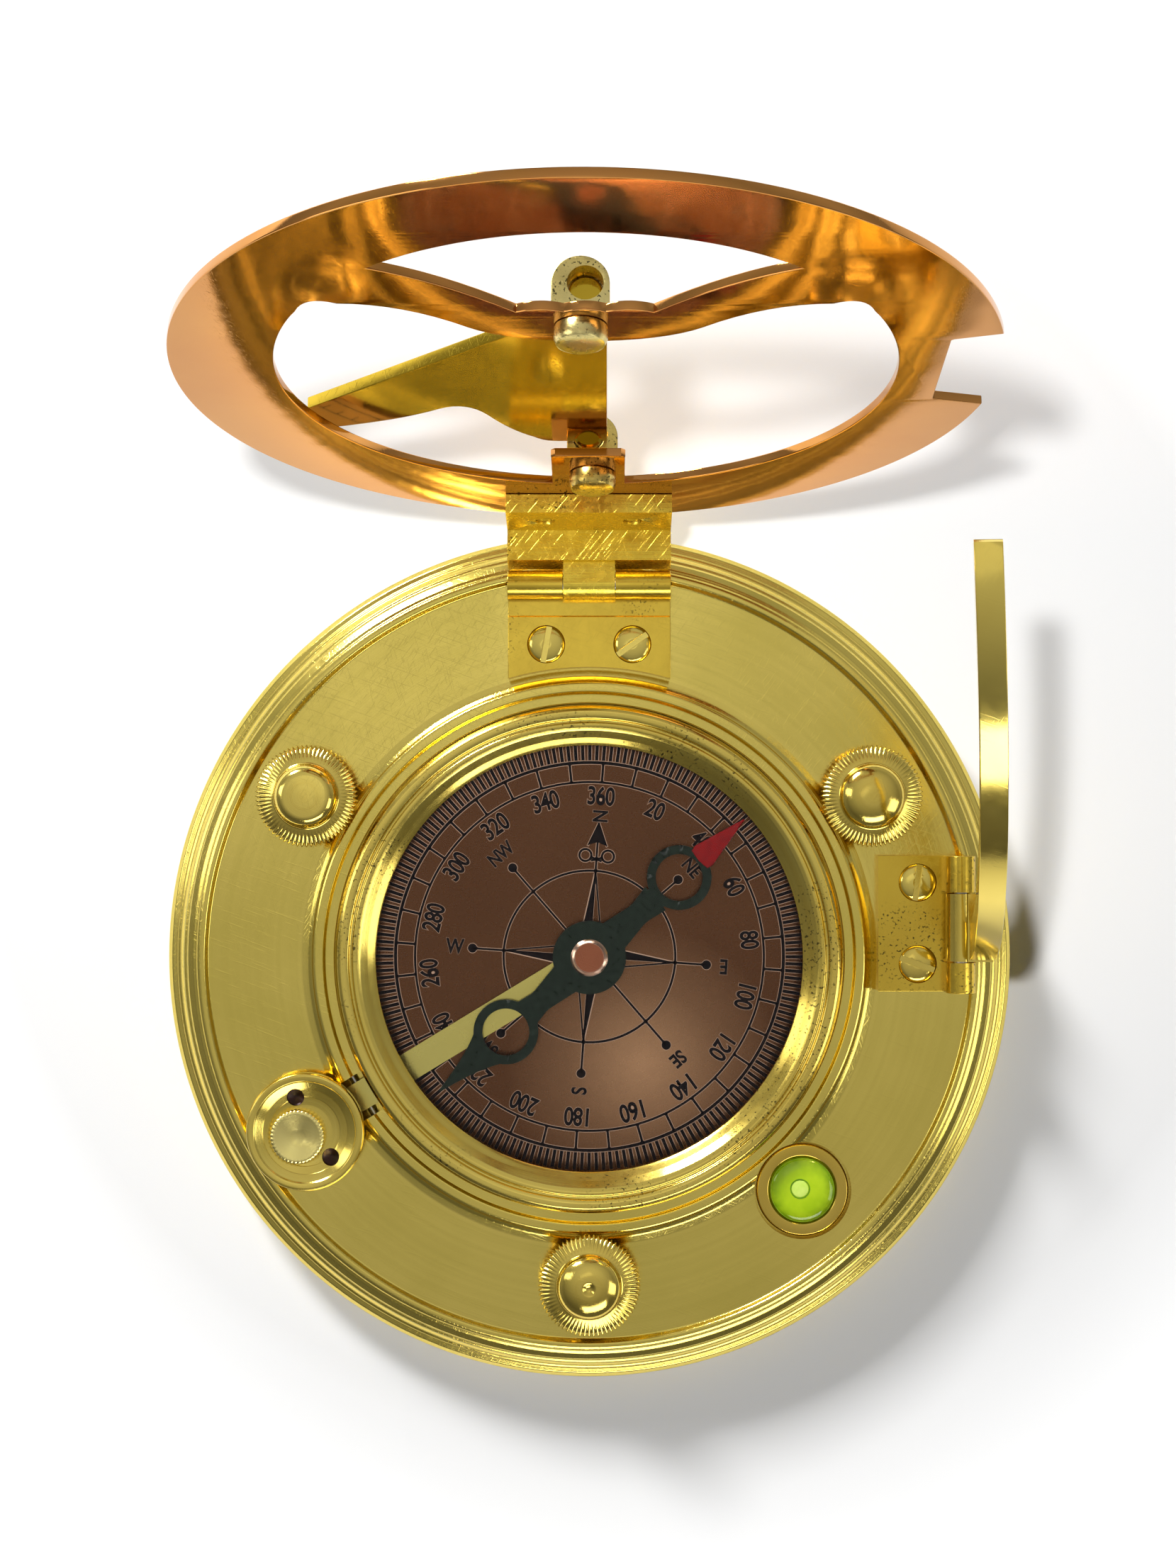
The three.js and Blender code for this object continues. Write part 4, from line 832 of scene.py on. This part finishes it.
# Lifter arm, lock disc, its serrated boss and nut
def make_lifter():
    arm = box("lifter_strip", 2.2, 39.2, -1.85, 1.85, ARM_Z, ARM_TOP_Z)
    combine(arm, [rod("cut", 3.0, ARM_Z, ARM_TOP_Z, 64)], "UNION")
    combine(arm, [rod("cut", 1.5, ARM_Z - 1, ARM_TOP_Z + 1, 48)])
    bevelled(arm, 0.1)
    turn_z(arm, LOCK_ANGLE)
    dress(arm, arm_metal, "lifter", "hinge_brass", "lifter_arm")
    top = LOCK_Z + 2.1
    dish = top - 1.0
    disc = lathe("lock_turning", [
        (0, 0.4), (1.7, 0.4), (1.7, 5.05), (5.2, 5.05), (5.2, LOCK_Z), (7.3, LOCK_Z), (7.55, LOCK_Z + 0.3),
        (7.58, top - 0.35), (7.45, top - 0.05), (7.15, top), (6.6, top - 0.04), (6.42, top - 0.2),
        (5.5, top - 0.55), (5.42, top - 0.6), (4.5, top - 0.82), (4.42, top - 0.86), (3.4, dish), (0, dish),
    ], 144, LOCK_CENTRE, 0.06)
    holes = []
    for angle in (106, -45):
        spot = beside(LOCK_CENTRE, 4.6, angle)
        holes.append(rod("cut", 1.12, dish - 1.2, top + 1, 40, spot))
        # Dark cup in each hole: painted shade
        pit = lathe(f"lock_pit_{angle % 360}", [
            (0, dish - 1.1), (0.25, dish - 1.05), (1.1, dish - 0.5), (1.1, dish - 1.18), (0, dish - 1.18),
        ], 40, spot)
        dress(pit, hole_shade, "lock", "satin_brass")
    combine(disc, holes)
    cam = rod("cut", 0.8, 3.88, 5.2, 32, beside(LOCK_CENTRE, 4.3, LOCK_ANGLE + 90))
    combine(disc, [cam], "UNION")
    dress(disc, lock_metal, "lock", "satin_brass", "lock_disc")
    teeth = 40

    def serrated(r, turn):
        if r < 3.2:
            return r
        return r + 0.13 * abs(math.sin(teeth / 2 * turn)) - 0.08

    crest = dish + 1.4
    profile = [(0, dish), (3.5, dish), (3.52, dish + 0.3), (3.48, dish + 1.2), (3.3, dish + 1.36)]
    for r in (2.85, 2.3, 1.75, 1.2):
        profile += [(r, crest), (r - 0.1, crest - 0.06)]
    centre = beside(LOCK_CENTRE, 1.1, LOCK_ANGLE)
    boss = lathe("boss_turning", profile + [(0, crest)], teeth * 6, centre, radius_at=serrated)
    smooth(boss, 50)
    dress(boss, boss_metal, "lock", "bright_brass", "lock_boss")
    coat("lock_nut", bright)


make_lifter()


# Levelling screws: knurled knobs with domed tops, and threaded shanks
def knob_dome(flat, dimpled):
    """Quarter round from the knob's groove up to a flat top."""
    rise, reach = 1.65, 4.12
    foot = KNOB_RIM_Z - 0.25
    points = [(flat + (reach - flat) * math.cos(i / 24 * math.pi), foot + rise * math.sin(i / 24 * math.pi))
              for i in range(1, 13)]
    top = foot + rise
    return points + ([(0.78, top), (0.55, top - 0.2), (0, top - 0.3)] if dimpled else [(0, top)])


def make_knob(number, centre, flat, dimpled):
    teeth = 68
    rim = KNOB_RIM_Z

    def knurl(r, turn):
        if r < 4.9:
            return r
        return r - 0.24 + 0.24 * math.cos(teeth * turn)

    profile = [
        (2.1, KNOB_Z), (6.2, KNOB_Z), (6.5, KNOB_Z + 0.2), (6.6, KNOB_Z + 0.35), (6.6, rim - 1.2),
        (6.42, rim - 0.95), (4.85, rim - 0.5), (4.35, rim - 0.4), (4.22, rim - 0.36), (4.15, rim - 0.3),
    ] + knob_dome(flat, dimpled) + [(0, KNOB_Z + 1.4), (2.1, KNOB_Z + 1.4), (2.1, KNOB_Z)]
    knob = lathe(f"knob_turning_{number}", profile, teeth * 4, centre, radius_at=knurl)
    smooth(knob, 46)
    skin = metal(f"knob_brass_{number}", 0.12, centre=centre, lines=0.4, scratches=0.6, tarnished=0.45,
                 bump=0.06)
    dress(knob, skin, f"level_grip_{number}", "bright_brass", f"level_knob_{number}")


def make_shank(number, centre):
    rows = [(0, -3.0), (1.4, -3.0), (1.75, -2.7)]
    z = -2.6
    while z < 7.5:
        rows += [(1.72, z), (2.0, z + 0.3), (2.0, z + 0.38)]
        z += 0.7
    shank = lathe(f"shank_threads_{number}", rows + [(1.9, 8.2), (0, 8.2)], 40, centre)
    dress(shank, bright, f"level_screw_{number}", "bright_brass", f"level_shank_{number}")


level_centres = [polar(LEVEL_AT, angle) for angle in LEVEL_ANGLES]
make_knob(1, level_centres[0], 2.6, False)
make_knob(2, level_centres[1], 0.5, False)
make_knob(3, level_centres[2], 1.0, True)
for number, centre in enumerate(level_centres, 1):
    make_shank(number, centre)


# Bubble level
def make_vial():
    cup = lathe("vial_cup_turning", [
        (0, VIAL_FLOOR_Z), (6.0, VIAL_FLOOR_Z), (6.0, 4.35), (5.8, 4.6), (4.5, 4.6), (4.25, 4.4), (4.25, 3.0),
        (0, 3.0),
    ], 120, VIAL_CENTRE, 0.08)
    cup_skin = metal("vial_brass", 0.16, (0.7, 0.5, 0.1), centre=VIAL_CENTRE, lines=0.5, tarnished=0.4)
    dress(cup, cup_skin, "base", "hinge_brass", "vial_cup")
    window = [(0, 3.0), (4.15, 3.0), (4.15, 4.75)]
    window += [(4.05 * math.cos(t * math.pi / 16), 4.75 + 0.5 * math.sin(t * math.pi / 16)) for t in range(8)]
    window.append((0, 5.25))
    vial = lathe("vial_window", window, 96, VIAL_CENTRE)
    dress(vial, green, "base", "green_vial", "level_vial")
    spot = (VIAL_CENTRE[0] - 0.35, VIAL_CENTRE[1] + 0.25)
    # Dark ring round the bubble: painted shade
    edge = lathe("bubble_edge_ring", [
        (1.12, 5.2), (1.28, 5.2), (1.3, 5.27), (1.12, 5.27), (1.12, 5.2),
    ], 48, spot)
    dress(edge, bubble_rim_shade, "base", "green_vial")
    # Light bead of the bubble: painted highlight
    bead = lathe("bubble_bead", [(0, 5.19), (1.1, 5.19), (1.05, 5.26), (0.7, 5.31), (0, 5.33)], 48, spot)
    dress(bead, bubble_painted_highlight, "base", "green_vial")


make_vial()


# Slotted screws, and the two leaves with their pins
def slotted(name, spot, top, degrees, body, replaced, place=None, length=4.6):
    x, y = spot
    made = lathe(name, [
        (0, top - length), (1.1, top - length), (1.1, top - 1.0), (2.35, top - 1.0), (2.35, top - 0.42),
        (2.22, top - 0.3), (1.8, top - 0.17), (1.3, top - 0.08), (0.7, top - 0.02), (0, top),
    ], 64, spot)
    groove = turn_z(box("cut", x - 4, x + 4, y - 0.36, y + 0.36, top - 0.5, top + 1), degrees, spot)
    combine(made, [groove])
    bevelled(made, 0.05, 40)
    if place is not None:
        made.data.transform(place)
    return dress(made, bright, body, "bright_brass", replaced)


def leaf_outline(axis, axis_z, inner, grooved):
    """Side view of a leaf that ends in a knuckle."""
    points = [(inner, FLOOR_Z), (axis - 1.5, FLOOR_Z), (axis, axis_z - KNUCKLE_R)]
    points += circle(KNUCKLE_R, 27, (axis, axis_z), -80, 180)
    back = axis - KNUCKLE_R
    if grooved:
        points += [(back, 6.6), (back - 1.9, 6.6), (back - 2.1, LEAF_TOP_Z)]
    else:
        points.append((back, LEAF_TOP_Z))
    points.append((inner, LEAF_TOP_Z))
    return points


def make_leaf(side, outline, width, across, cuts, axle, bolts):
    """A leaf on the base, its pin and its two screws.

    axle is the pin's axis and place, and bolts lists each screw's place and its slot's angle.
    """
    leaf = plate(f"{side}_leaf_casting", [outline], *width, 0.08, across)
    for spot, _ in bolts:
        cuts.append(lathe("cut", [(0, 4), (1.2, 4), (1.2, 5.9), (2.45, 5.9), (2.45, 8), (0, 8)], 64, spot))
    combine(leaf, cuts)
    bevelled(leaf, 0.07, 40)
    dress(leaf, leaf_metal, "base", "hinge_brass", f"{side}_hinge_leaf")
    low, high = width
    pin = laid(rod(f"{side}_pin_rod", PIN_R, low + 0.1, high - 0.1, 40), *axle)
    bevelled(pin, 0.15)
    dress(pin, steel, "base", "steel", f"{side}_hinge_pin")
    for i, (spot, degrees) in enumerate(bolts, 1):
        slotted(f"{side}_leaf_bolt_{i}", spot, LEAF_TOP_Z, degrees, "base", f"{side}_leaf_screw_{i}")


def make_ring_hinge():
    reach = KNUCKLE_R + KNUCKLE_GAP
    axle = ("Y", (0, RING_AXIS_Y, RING_AXIS_Z))
    cuts = [
        rod("cut", 37.6, 0, 20, 240),
        box("cut", -3.4, 3.4, RING_AXIS_Y - reach, RING_AXIS_Y + reach, RING_AXIS_Z - reach, 20),
        laid(rod("cut", PIN_HOLE_R, -20, 20, 32), *axle),
    ]
    bolts = [((x, LEAF_BOLT_Y), degrees) for x, degrees in zip(BOLT_X, (80, 35))]
    outline = leaf_outline(RING_AXIS_Y, RING_AXIS_Z, 35.6, True)
    make_leaf("ring", outline, (-HALF_LEAF, HALF_LEAF), ACROSS_X, cuts, axle, bolts)


make_ring_hinge()


def make_bracket():
    back, front = -8.9, -6.5
    web_front = front + 4.0
    block = box("bracket_casting", -HALF_LEAF, HALF_LEAF, -1.0, 9.3, back, front)
    combine(block, [
        box("cut", -HALF_LEAF, HALF_LEAF, -1.0, 2.7, front - 0.5, web_front),
        box("cut", -3.3, 3.3, -1.0, KNUCKLE_R, web_front - 0.5, 0),
        laid(rod("cut", KNUCKLE_R, -3.3, 3.3, 64), "Y"),
    ], "UNION")
    cuts = [laid(rod("cut", PIN_HOLE_R, -20, 20, 32), "Y")]
    cuts += [rod("cut", 1.2, back - 1, front + 1, 48, (x, FLANGE_BOLT_V)) for x in BOLT_X]
    for i in range(7):
        z = front + 0.5 + i * 0.55
        cuts.append(box("cut", -HALF_LEAF - 1, HALF_LEAF + 1, 2.63, 3.2, z, z + 0.12))
    combine(block, cuts)
    bevelled(block, 0.09, 40)
    block.data.transform(RING_PLACE)
    dress(block, web_lit_metal, "hour_ring_assembly", "hinge_brass", "ring_bracket")
    flip = RING_PLACE @ Matrix.Rotation(math.pi, 4, "X")
    top = RING_RISE + RING_T + 0.1 + 1.0
    for i, (x, degrees) in enumerate(zip(BOLT_X, (30, 70)), 1):
        slotted(f"ring_bolt_{i}", (x, -FLANGE_BOLT_V), top, degrees, "hour_ring_assembly", f"ring_screw_{i}",
                flip, 4.4)


make_bracket()


# Hour ring: a plate with two openings, a lug and a notch
def bar_edge(level, half, middle):
    """Wavy edge of the crossbar, from its left half and its middle."""
    points = half + [middle] + [(-x, y) for x, y in reversed(half)]
    return curve_through([(x, level + y) for x, y in points])


def make_ring():
    low, high = -RING_RISE - RING_T, -RING_RISE
    inner = RING_INNER_R
    depth = RING_R - 6.6
    start = math.degrees(math.asin(10.6 / RING_R))
    stop = 360 - math.degrees(math.asin(8.6 / RING_R))
    outer = circle(RING_R, 200, start=start, stop=stop)
    outer += [(depth + 0.3, -7.15), (depth, -6.9), (depth, 8.9), (depth + 0.3, 9.15)]
    upper = bar_edge(BAR_V + 3.9, [(-21.9, 10.1), (-15, 7.4), (-7.2, -0.3), (-4.7, 1.1), (-2.2, -0.2)],
                     (0, 1.1))
    lower = bar_edge(BAR_V - 3.9, [(-30.3, 7.6), (-29, 11.4), (-25.8, 9.5), (-19, 9.5), (-12.5, 3.6),
                                   (-8.5, 0.2)], (0, 0))
    a = math.degrees(math.atan2(upper[-1][1], upper[-1][0]))
    top_hole = upper + circle(inner, 40, start=a, stop=180 - a)[1:-1]
    b = math.degrees(math.atan2(lower[-1][1], lower[-1][0]))
    lug = math.degrees(math.asin(4.5 / inner))
    lug_top = -inner + 9.6
    low_hole = lower + circle(inner, 60, start=b, stop=-90 + lug)[1:]
    low_hole += [(4.5, lug_top - 0.5), (4.0, lug_top), (-4.0, lug_top), (-4.5, lug_top - 0.5)]
    low_hole += circle(inner, 60, start=-90 - lug, stop=-180 - b)[:-1]
    holes = [circle(2.4, 32, (-POST_SHIFT, BAR_V)), circle(2.4, 32, (POST_SHIFT, LOWER_POST_V))]
    holes += [circle(1.3, 24, (x, FLANGE_BOLT_V - RING_CENTRE_V)) for x in BOLT_X]
    outlines = [outer, top_hole, low_hole] + holes
    ring = plate("hour_ring_plate", outlines, low, high, 0.16, RING_PLACE @ CENTRE_V)
    dress(ring, copper, "hour_ring_assembly", "ring_copper", "hour_ring")


make_ring()


# Hour scale on the ring's far face: hours 4 to 20 at 15 degrees an hour, noon at the hinge
ROMAN = ("I", "II", "III", "IV", "V", "VI", "VII", "VIII", "IX", "X", "XI", "XII")
HOUR_NUMERALS_R = 41.3
HOUR_LINES_LIFT = 0.012


def make_hour_scale():
    face = (RING_PLACE @ CENTRE_V @ Matrix.Translation((0, 0, -(RING_RISE + RING_T) * M))
            @ Matrix.Rotation(math.pi, 4, "Y"))
    inner, middle, outer = 35.6, 38.2, 44.6

    def in_notch(angle):
        return abs(angle + 180) < 12.5

    marks = Marks(HOUR_LINES_LIFT, 0.0)
    for r, width in ((inner, 0.16), (middle, 0.16), (outer, 0.2)):
        marks.arc(r, width, -206, -192.5)
        marks.arc(r, width, -167.5, 26)
    for quarter in range(4 * 4, 20 * 4 + 1):
        angle = -90 - (quarter - 12 * 4) * 3.75
        if in_notch(angle):
            continue
        foot, width = (inner + 1.3, 0.14) if quarter % 4 else (inner, 0.22)
        marks.line(polar(foot, angle), polar(middle, angle), width)
    marks.done("hour_scale_lines", ink, "hour_ring_assembly", "ring_copper", face)
    for hour in range(4, 21):
        angle = -90 - (hour - 12) * 15
        if in_notch(angle):
            continue
        x, y = polar(HOUR_NUMERALS_R, angle)
        place = (face @ Matrix.Translation((x * M, y * M, HOUR_LINES_LIFT * M))
                 @ Matrix.Rotation((angle + 90) * RAD, 4, "Z"))
        piece = word_piece(f"hour_numeral_{hour}", ROMAN[(hour - 1) % 12], 4.4, place, 0.7)
        dress(piece, ink, "hour_ring_assembly", "ring_copper")


make_hour_scale()


# Gnomon posts with hammered rivet tails
def make_post(name, shift, v, replaced):
    outline = [(-3.1, 0.1), (3.1, 0.1)] + circle(3.1, 21, (0, TRUNNION_RISE), 0, 180)
    upright = Matrix(((-1, 0, 0, 0), (0, 0, 1, 0), (0, 1, 0, 0), (0, 0, 0, 1)))
    body = plate(name, [outline], -3.0, 3.0, 0.1, upright)
    body.data.transform(Matrix.Diagonal((1, 1, -1, 1)))
    faced_out(body.data)
    body.data.transform(Matrix.Translation((shift * M, 0, (-RING_RISE - RING_T) * M)))
    tail = lathe("cut", [
        (0, -10.6), (2.3, -10.6), (2.3, -8.9), (2.85, -8.9), (2.88, -7.6), (2.6, -7.0), (2.05, -6.75),
        (0.9, -6.7), (0, -6.74),
    ], 64, (shift, 0))
    combine(body, [tail], "UNION")
    axis = (0, 0, -(RING_RISE + RING_T + TRUNNION_RISE))
    combine(body, [laid(rod("cut", 1.95, -20, 20, 48), "X", axis)])
    bevelled(body, 0.05, 50)
    body.data.transform(RING_PLACE @ Matrix.Translation((0, (RING_CENTRE_V + v) * M, 0)))
    dress(body, post_metal, "hour_ring_assembly", "hinge_brass", replaced)


make_post("upper_post_casting", -POST_SHIFT, BAR_V, "gnomon_post_upper")
make_post("lower_post_casting", POST_SHIFT, LOWER_POST_V, "gnomon_post_lower")


def make_gnomon():
    top, foot = BAR_V - 3.3, LOWER_POST_V + 3.3
    mid = -RING_RISE - RING_T - TRUNNION_RISE
    outline = [(2.3, top), (-2.0, top), (-33.0, -17.2)]
    outline += curve_through([(-30.6, -23.0), (-22.7, -21.0), (-17.4, -17.3), (-14.2, -15.2), (-11.9, -19.2),
                              (-9.4, -24.0), (-6.6, foot + 1.4)])
    outline += curve_between((-6.6, foot + 1.4), (-5.4, foot), (-3.8, foot), 6)
    outline.append((2.3, foot))
    sheet = plate("gnomon_sheet", [outline], mid - 0.75, mid + 0.75, 0.12)
    ends = []
    for v0, v1 in ((top - 1, top + 4), (foot - 4, foot + 1)):
        end = lathe("cut", [(0, -v1), (1.6, -v1), (1.85, -v1 + 0.25), (1.85, -v0), (0, -v0)], 48)
        ends.append(laid(end, "X", (0, 0, mid)))
    combine(sheet, ends, "UNION")
    sheet.data.transform(RING_PLACE @ CENTRE_V)
    dress(sheet, gnomon_metal, "gnomon_plate", "bright_brass", "gnomon")


make_gnomon()


# Latitude arc and its hinge
def make_arc_hinge():
    reach = KNUCKLE_R + KNUCKLE_GAP
    axle = ("X", (ARC_AXIS_X, 0, ARC_AXIS_Z))
    cuts = [
        laid(rod("cut", PIN_HOLE_R, -30, 30, 32), *axle),
        box("cut", ARC_AXIS_X - reach, ARC_AXIS_X + reach, -0.3, 8.7, ARC_AXIS_Z - reach, 20),
    ]
    bolts = [((ARC_BOLT_X, y), degrees) for y, degrees in zip(ARC_BOLT_Y, (-20, 82))]
    outline = leaf_outline(ARC_AXIS_X, ARC_AXIS_Z, 37.2, False)
    make_leaf("arc", outline, (-13.3, 4.2), ACROSS_Y, cuts, axle, bolts)


def make_arc():
    centre = (RING_AXIS_Y, RING_AXIS_Z - ARC_AXIS_Z)
    low, high = 0.9, 4.1
    outline = circle(48.0, 80, centre, 180, 88.9) + circle(47.5, 4, centre, 88.55, 88.5)
    outline += circle(43.7, 4, centre, 88.5, 88.55) + circle(43.2, 70, centre, 88.95, 180)
    band = plate("arc_band", [outline], low, high, 0.14, ACROSS_X)
    for vert in band.data.vertices:
        turn = math.atan2(vert.co.z - centre[1] * M, centre[0] * M - vert.co.y) / RAD
        vert.co.x += ARC_BOW * M * math.sin(math.pi * min(1.0, max(0.0, turn / 91.5)))
    combine(band, [
        box("cut", low, high, -0.1, 8.5, -KNUCKLE_R, KNUCKLE_R),
        laid(rod("cut", KNUCKLE_R, -8.5, 0.1, 64), "X"),
    ], "UNION")
    combine(band, [laid(rod("cut", PIN_HOLE_R, -20, 20, 32), "X")])
    bevelled(band, 0.06, 50)
    band.data.transform(ARC_PLACE)
    dress(band, arc_metal, "arc", "hinge_brass", "latitude_arc")


make_arc_hinge()
make_arc()
for i in (1, 2, 3):
    coat(f"case_screw_{i}", bright)


# Studio
def make_floor():
    """Pale floor that takes shadows near the object and is lifted to white further away."""
    floor = box("floor", -1500, 1500, -1500, 1500, -13.1, -3.1)
    made, graph, shader = material("floor_white")
    away = graph.spread(graph.radius((4, 22)), 0.084, 0.12, 0.0, 0.42)
    lift = graph.calc("MULTIPLY", graph.background_rays(), away)
    graph.feed(shader, {"Base Color": (0.9, 0.9, 0.9, 1), "Roughness": 0.9, "Emission Color": (1, 1, 1, 1),
                        "Emission Strength": lift})
    floor.data.materials.append(made)


def make_world():
    """Grey room with a brighter band and ceiling. It shows in reflections and hardly lights the object."""
    world = bpy.data.worlds.new("studio")
    bpy.context.scene.world = world
    world.use_nodes = True
    graph = Graph(world.node_tree)
    sky = graph.nodes["Background"]
    coords = graph.nodes.new("ShaderNodeTexCoord")
    parts = graph.nodes.new("ShaderNodeSeparateXYZ")
    graph.feed(parts, {0: coords.outputs["Generated"]})
    tone = graph.ramp(graph.spread(parts.outputs["Z"], -0.2, 1.0, 0.0, 1.0),
                      [(0.0, 0.3), (0.17, 0.3), (0.35, 0.42), (0.6, 0.3), (0.85, 0.5), (1.0, 0.75)])
    level = graph.spread(graph.background_rays(), 0.0, 1.0, 0.07, 0.76)
    slope = graph.spread(parts.outputs["Y"], -0.6, 0.6, 0.5, 1.5)
    graph.feed(sky, {"Color": tone, "Strength": graph.calc("MULTIPLY", level, slope)})


def lamp(name, place, size, power, aim=(0, 0, 0)):
    light = bpy.data.lights.new(name, "AREA")
    light.shape = "RECTANGLE"
    light.size, light.size_y = size
    light.energy = power
    made = link(light, name)
    made.location = place
    made.rotation_euler = (Vector(aim) - Vector(place)).to_track_quat("-Z", "Y").to_euler()
    return made


def make_lamps():
    """One lamp for the shadow of the low pieces, one for that of the tall ones, and panels for reflections."""
    key = lamp("key", (-0.61, 1.0, 0.56), (0.26, 0.26), 21.5)
    key.light_linking.blocker_collection = shadows["low"]
    over = lamp("over", (-0.046, 0.076, 0.36), (0.022, 0.022), 0.68, (0, 0.02, 0))
    over.light_linking.blocker_collection = shadows["tall"]
    over.visible_glossy = False
    for name, place, size, power in (("window", (0.1, -0.45, 0.4), (0.4, 0.2), 1.3),
                                     ("side", (0.42, -0.14, 0.36), (0.2, 0.3), 0.5),
                                     ("left", (-0.4, 0.1, 0.34), (0.12, 0.3), 0.3),
                                     ("ceiling", (-0.08, 0.13, 1.25), (0.34, 0.2), 0.06)):
        lamp(name, place, size, power).visible_diffuse = False


# The photo's height and focal length in its own pixels, and its pixels a millimetre at the dial
PHOTO_H = 2212
FOCAL_PX = 3500
PX_PER_MM = 10.77


def make_camera():
    lens = bpy.data.cameras.new("camera")
    lens.sensor_fit = "VERTICAL"
    lens.sensor_height = 36
    lens.lens = 36 * FOCAL_PX / PHOTO_H
    lens.clip_start = 0.01
    lens.shift_x = -2.5 * PX_PER_MM / PHOTO_H
    camera = link(lens, "camera")
    camera.location = (0.0023, 0.0225, 0.3264)
    bpy.context.scene.camera = camera


make_floor()
make_world()
make_lamps()
make_camera()
bpy.context.scene.view_settings.view_transform = "Standard"
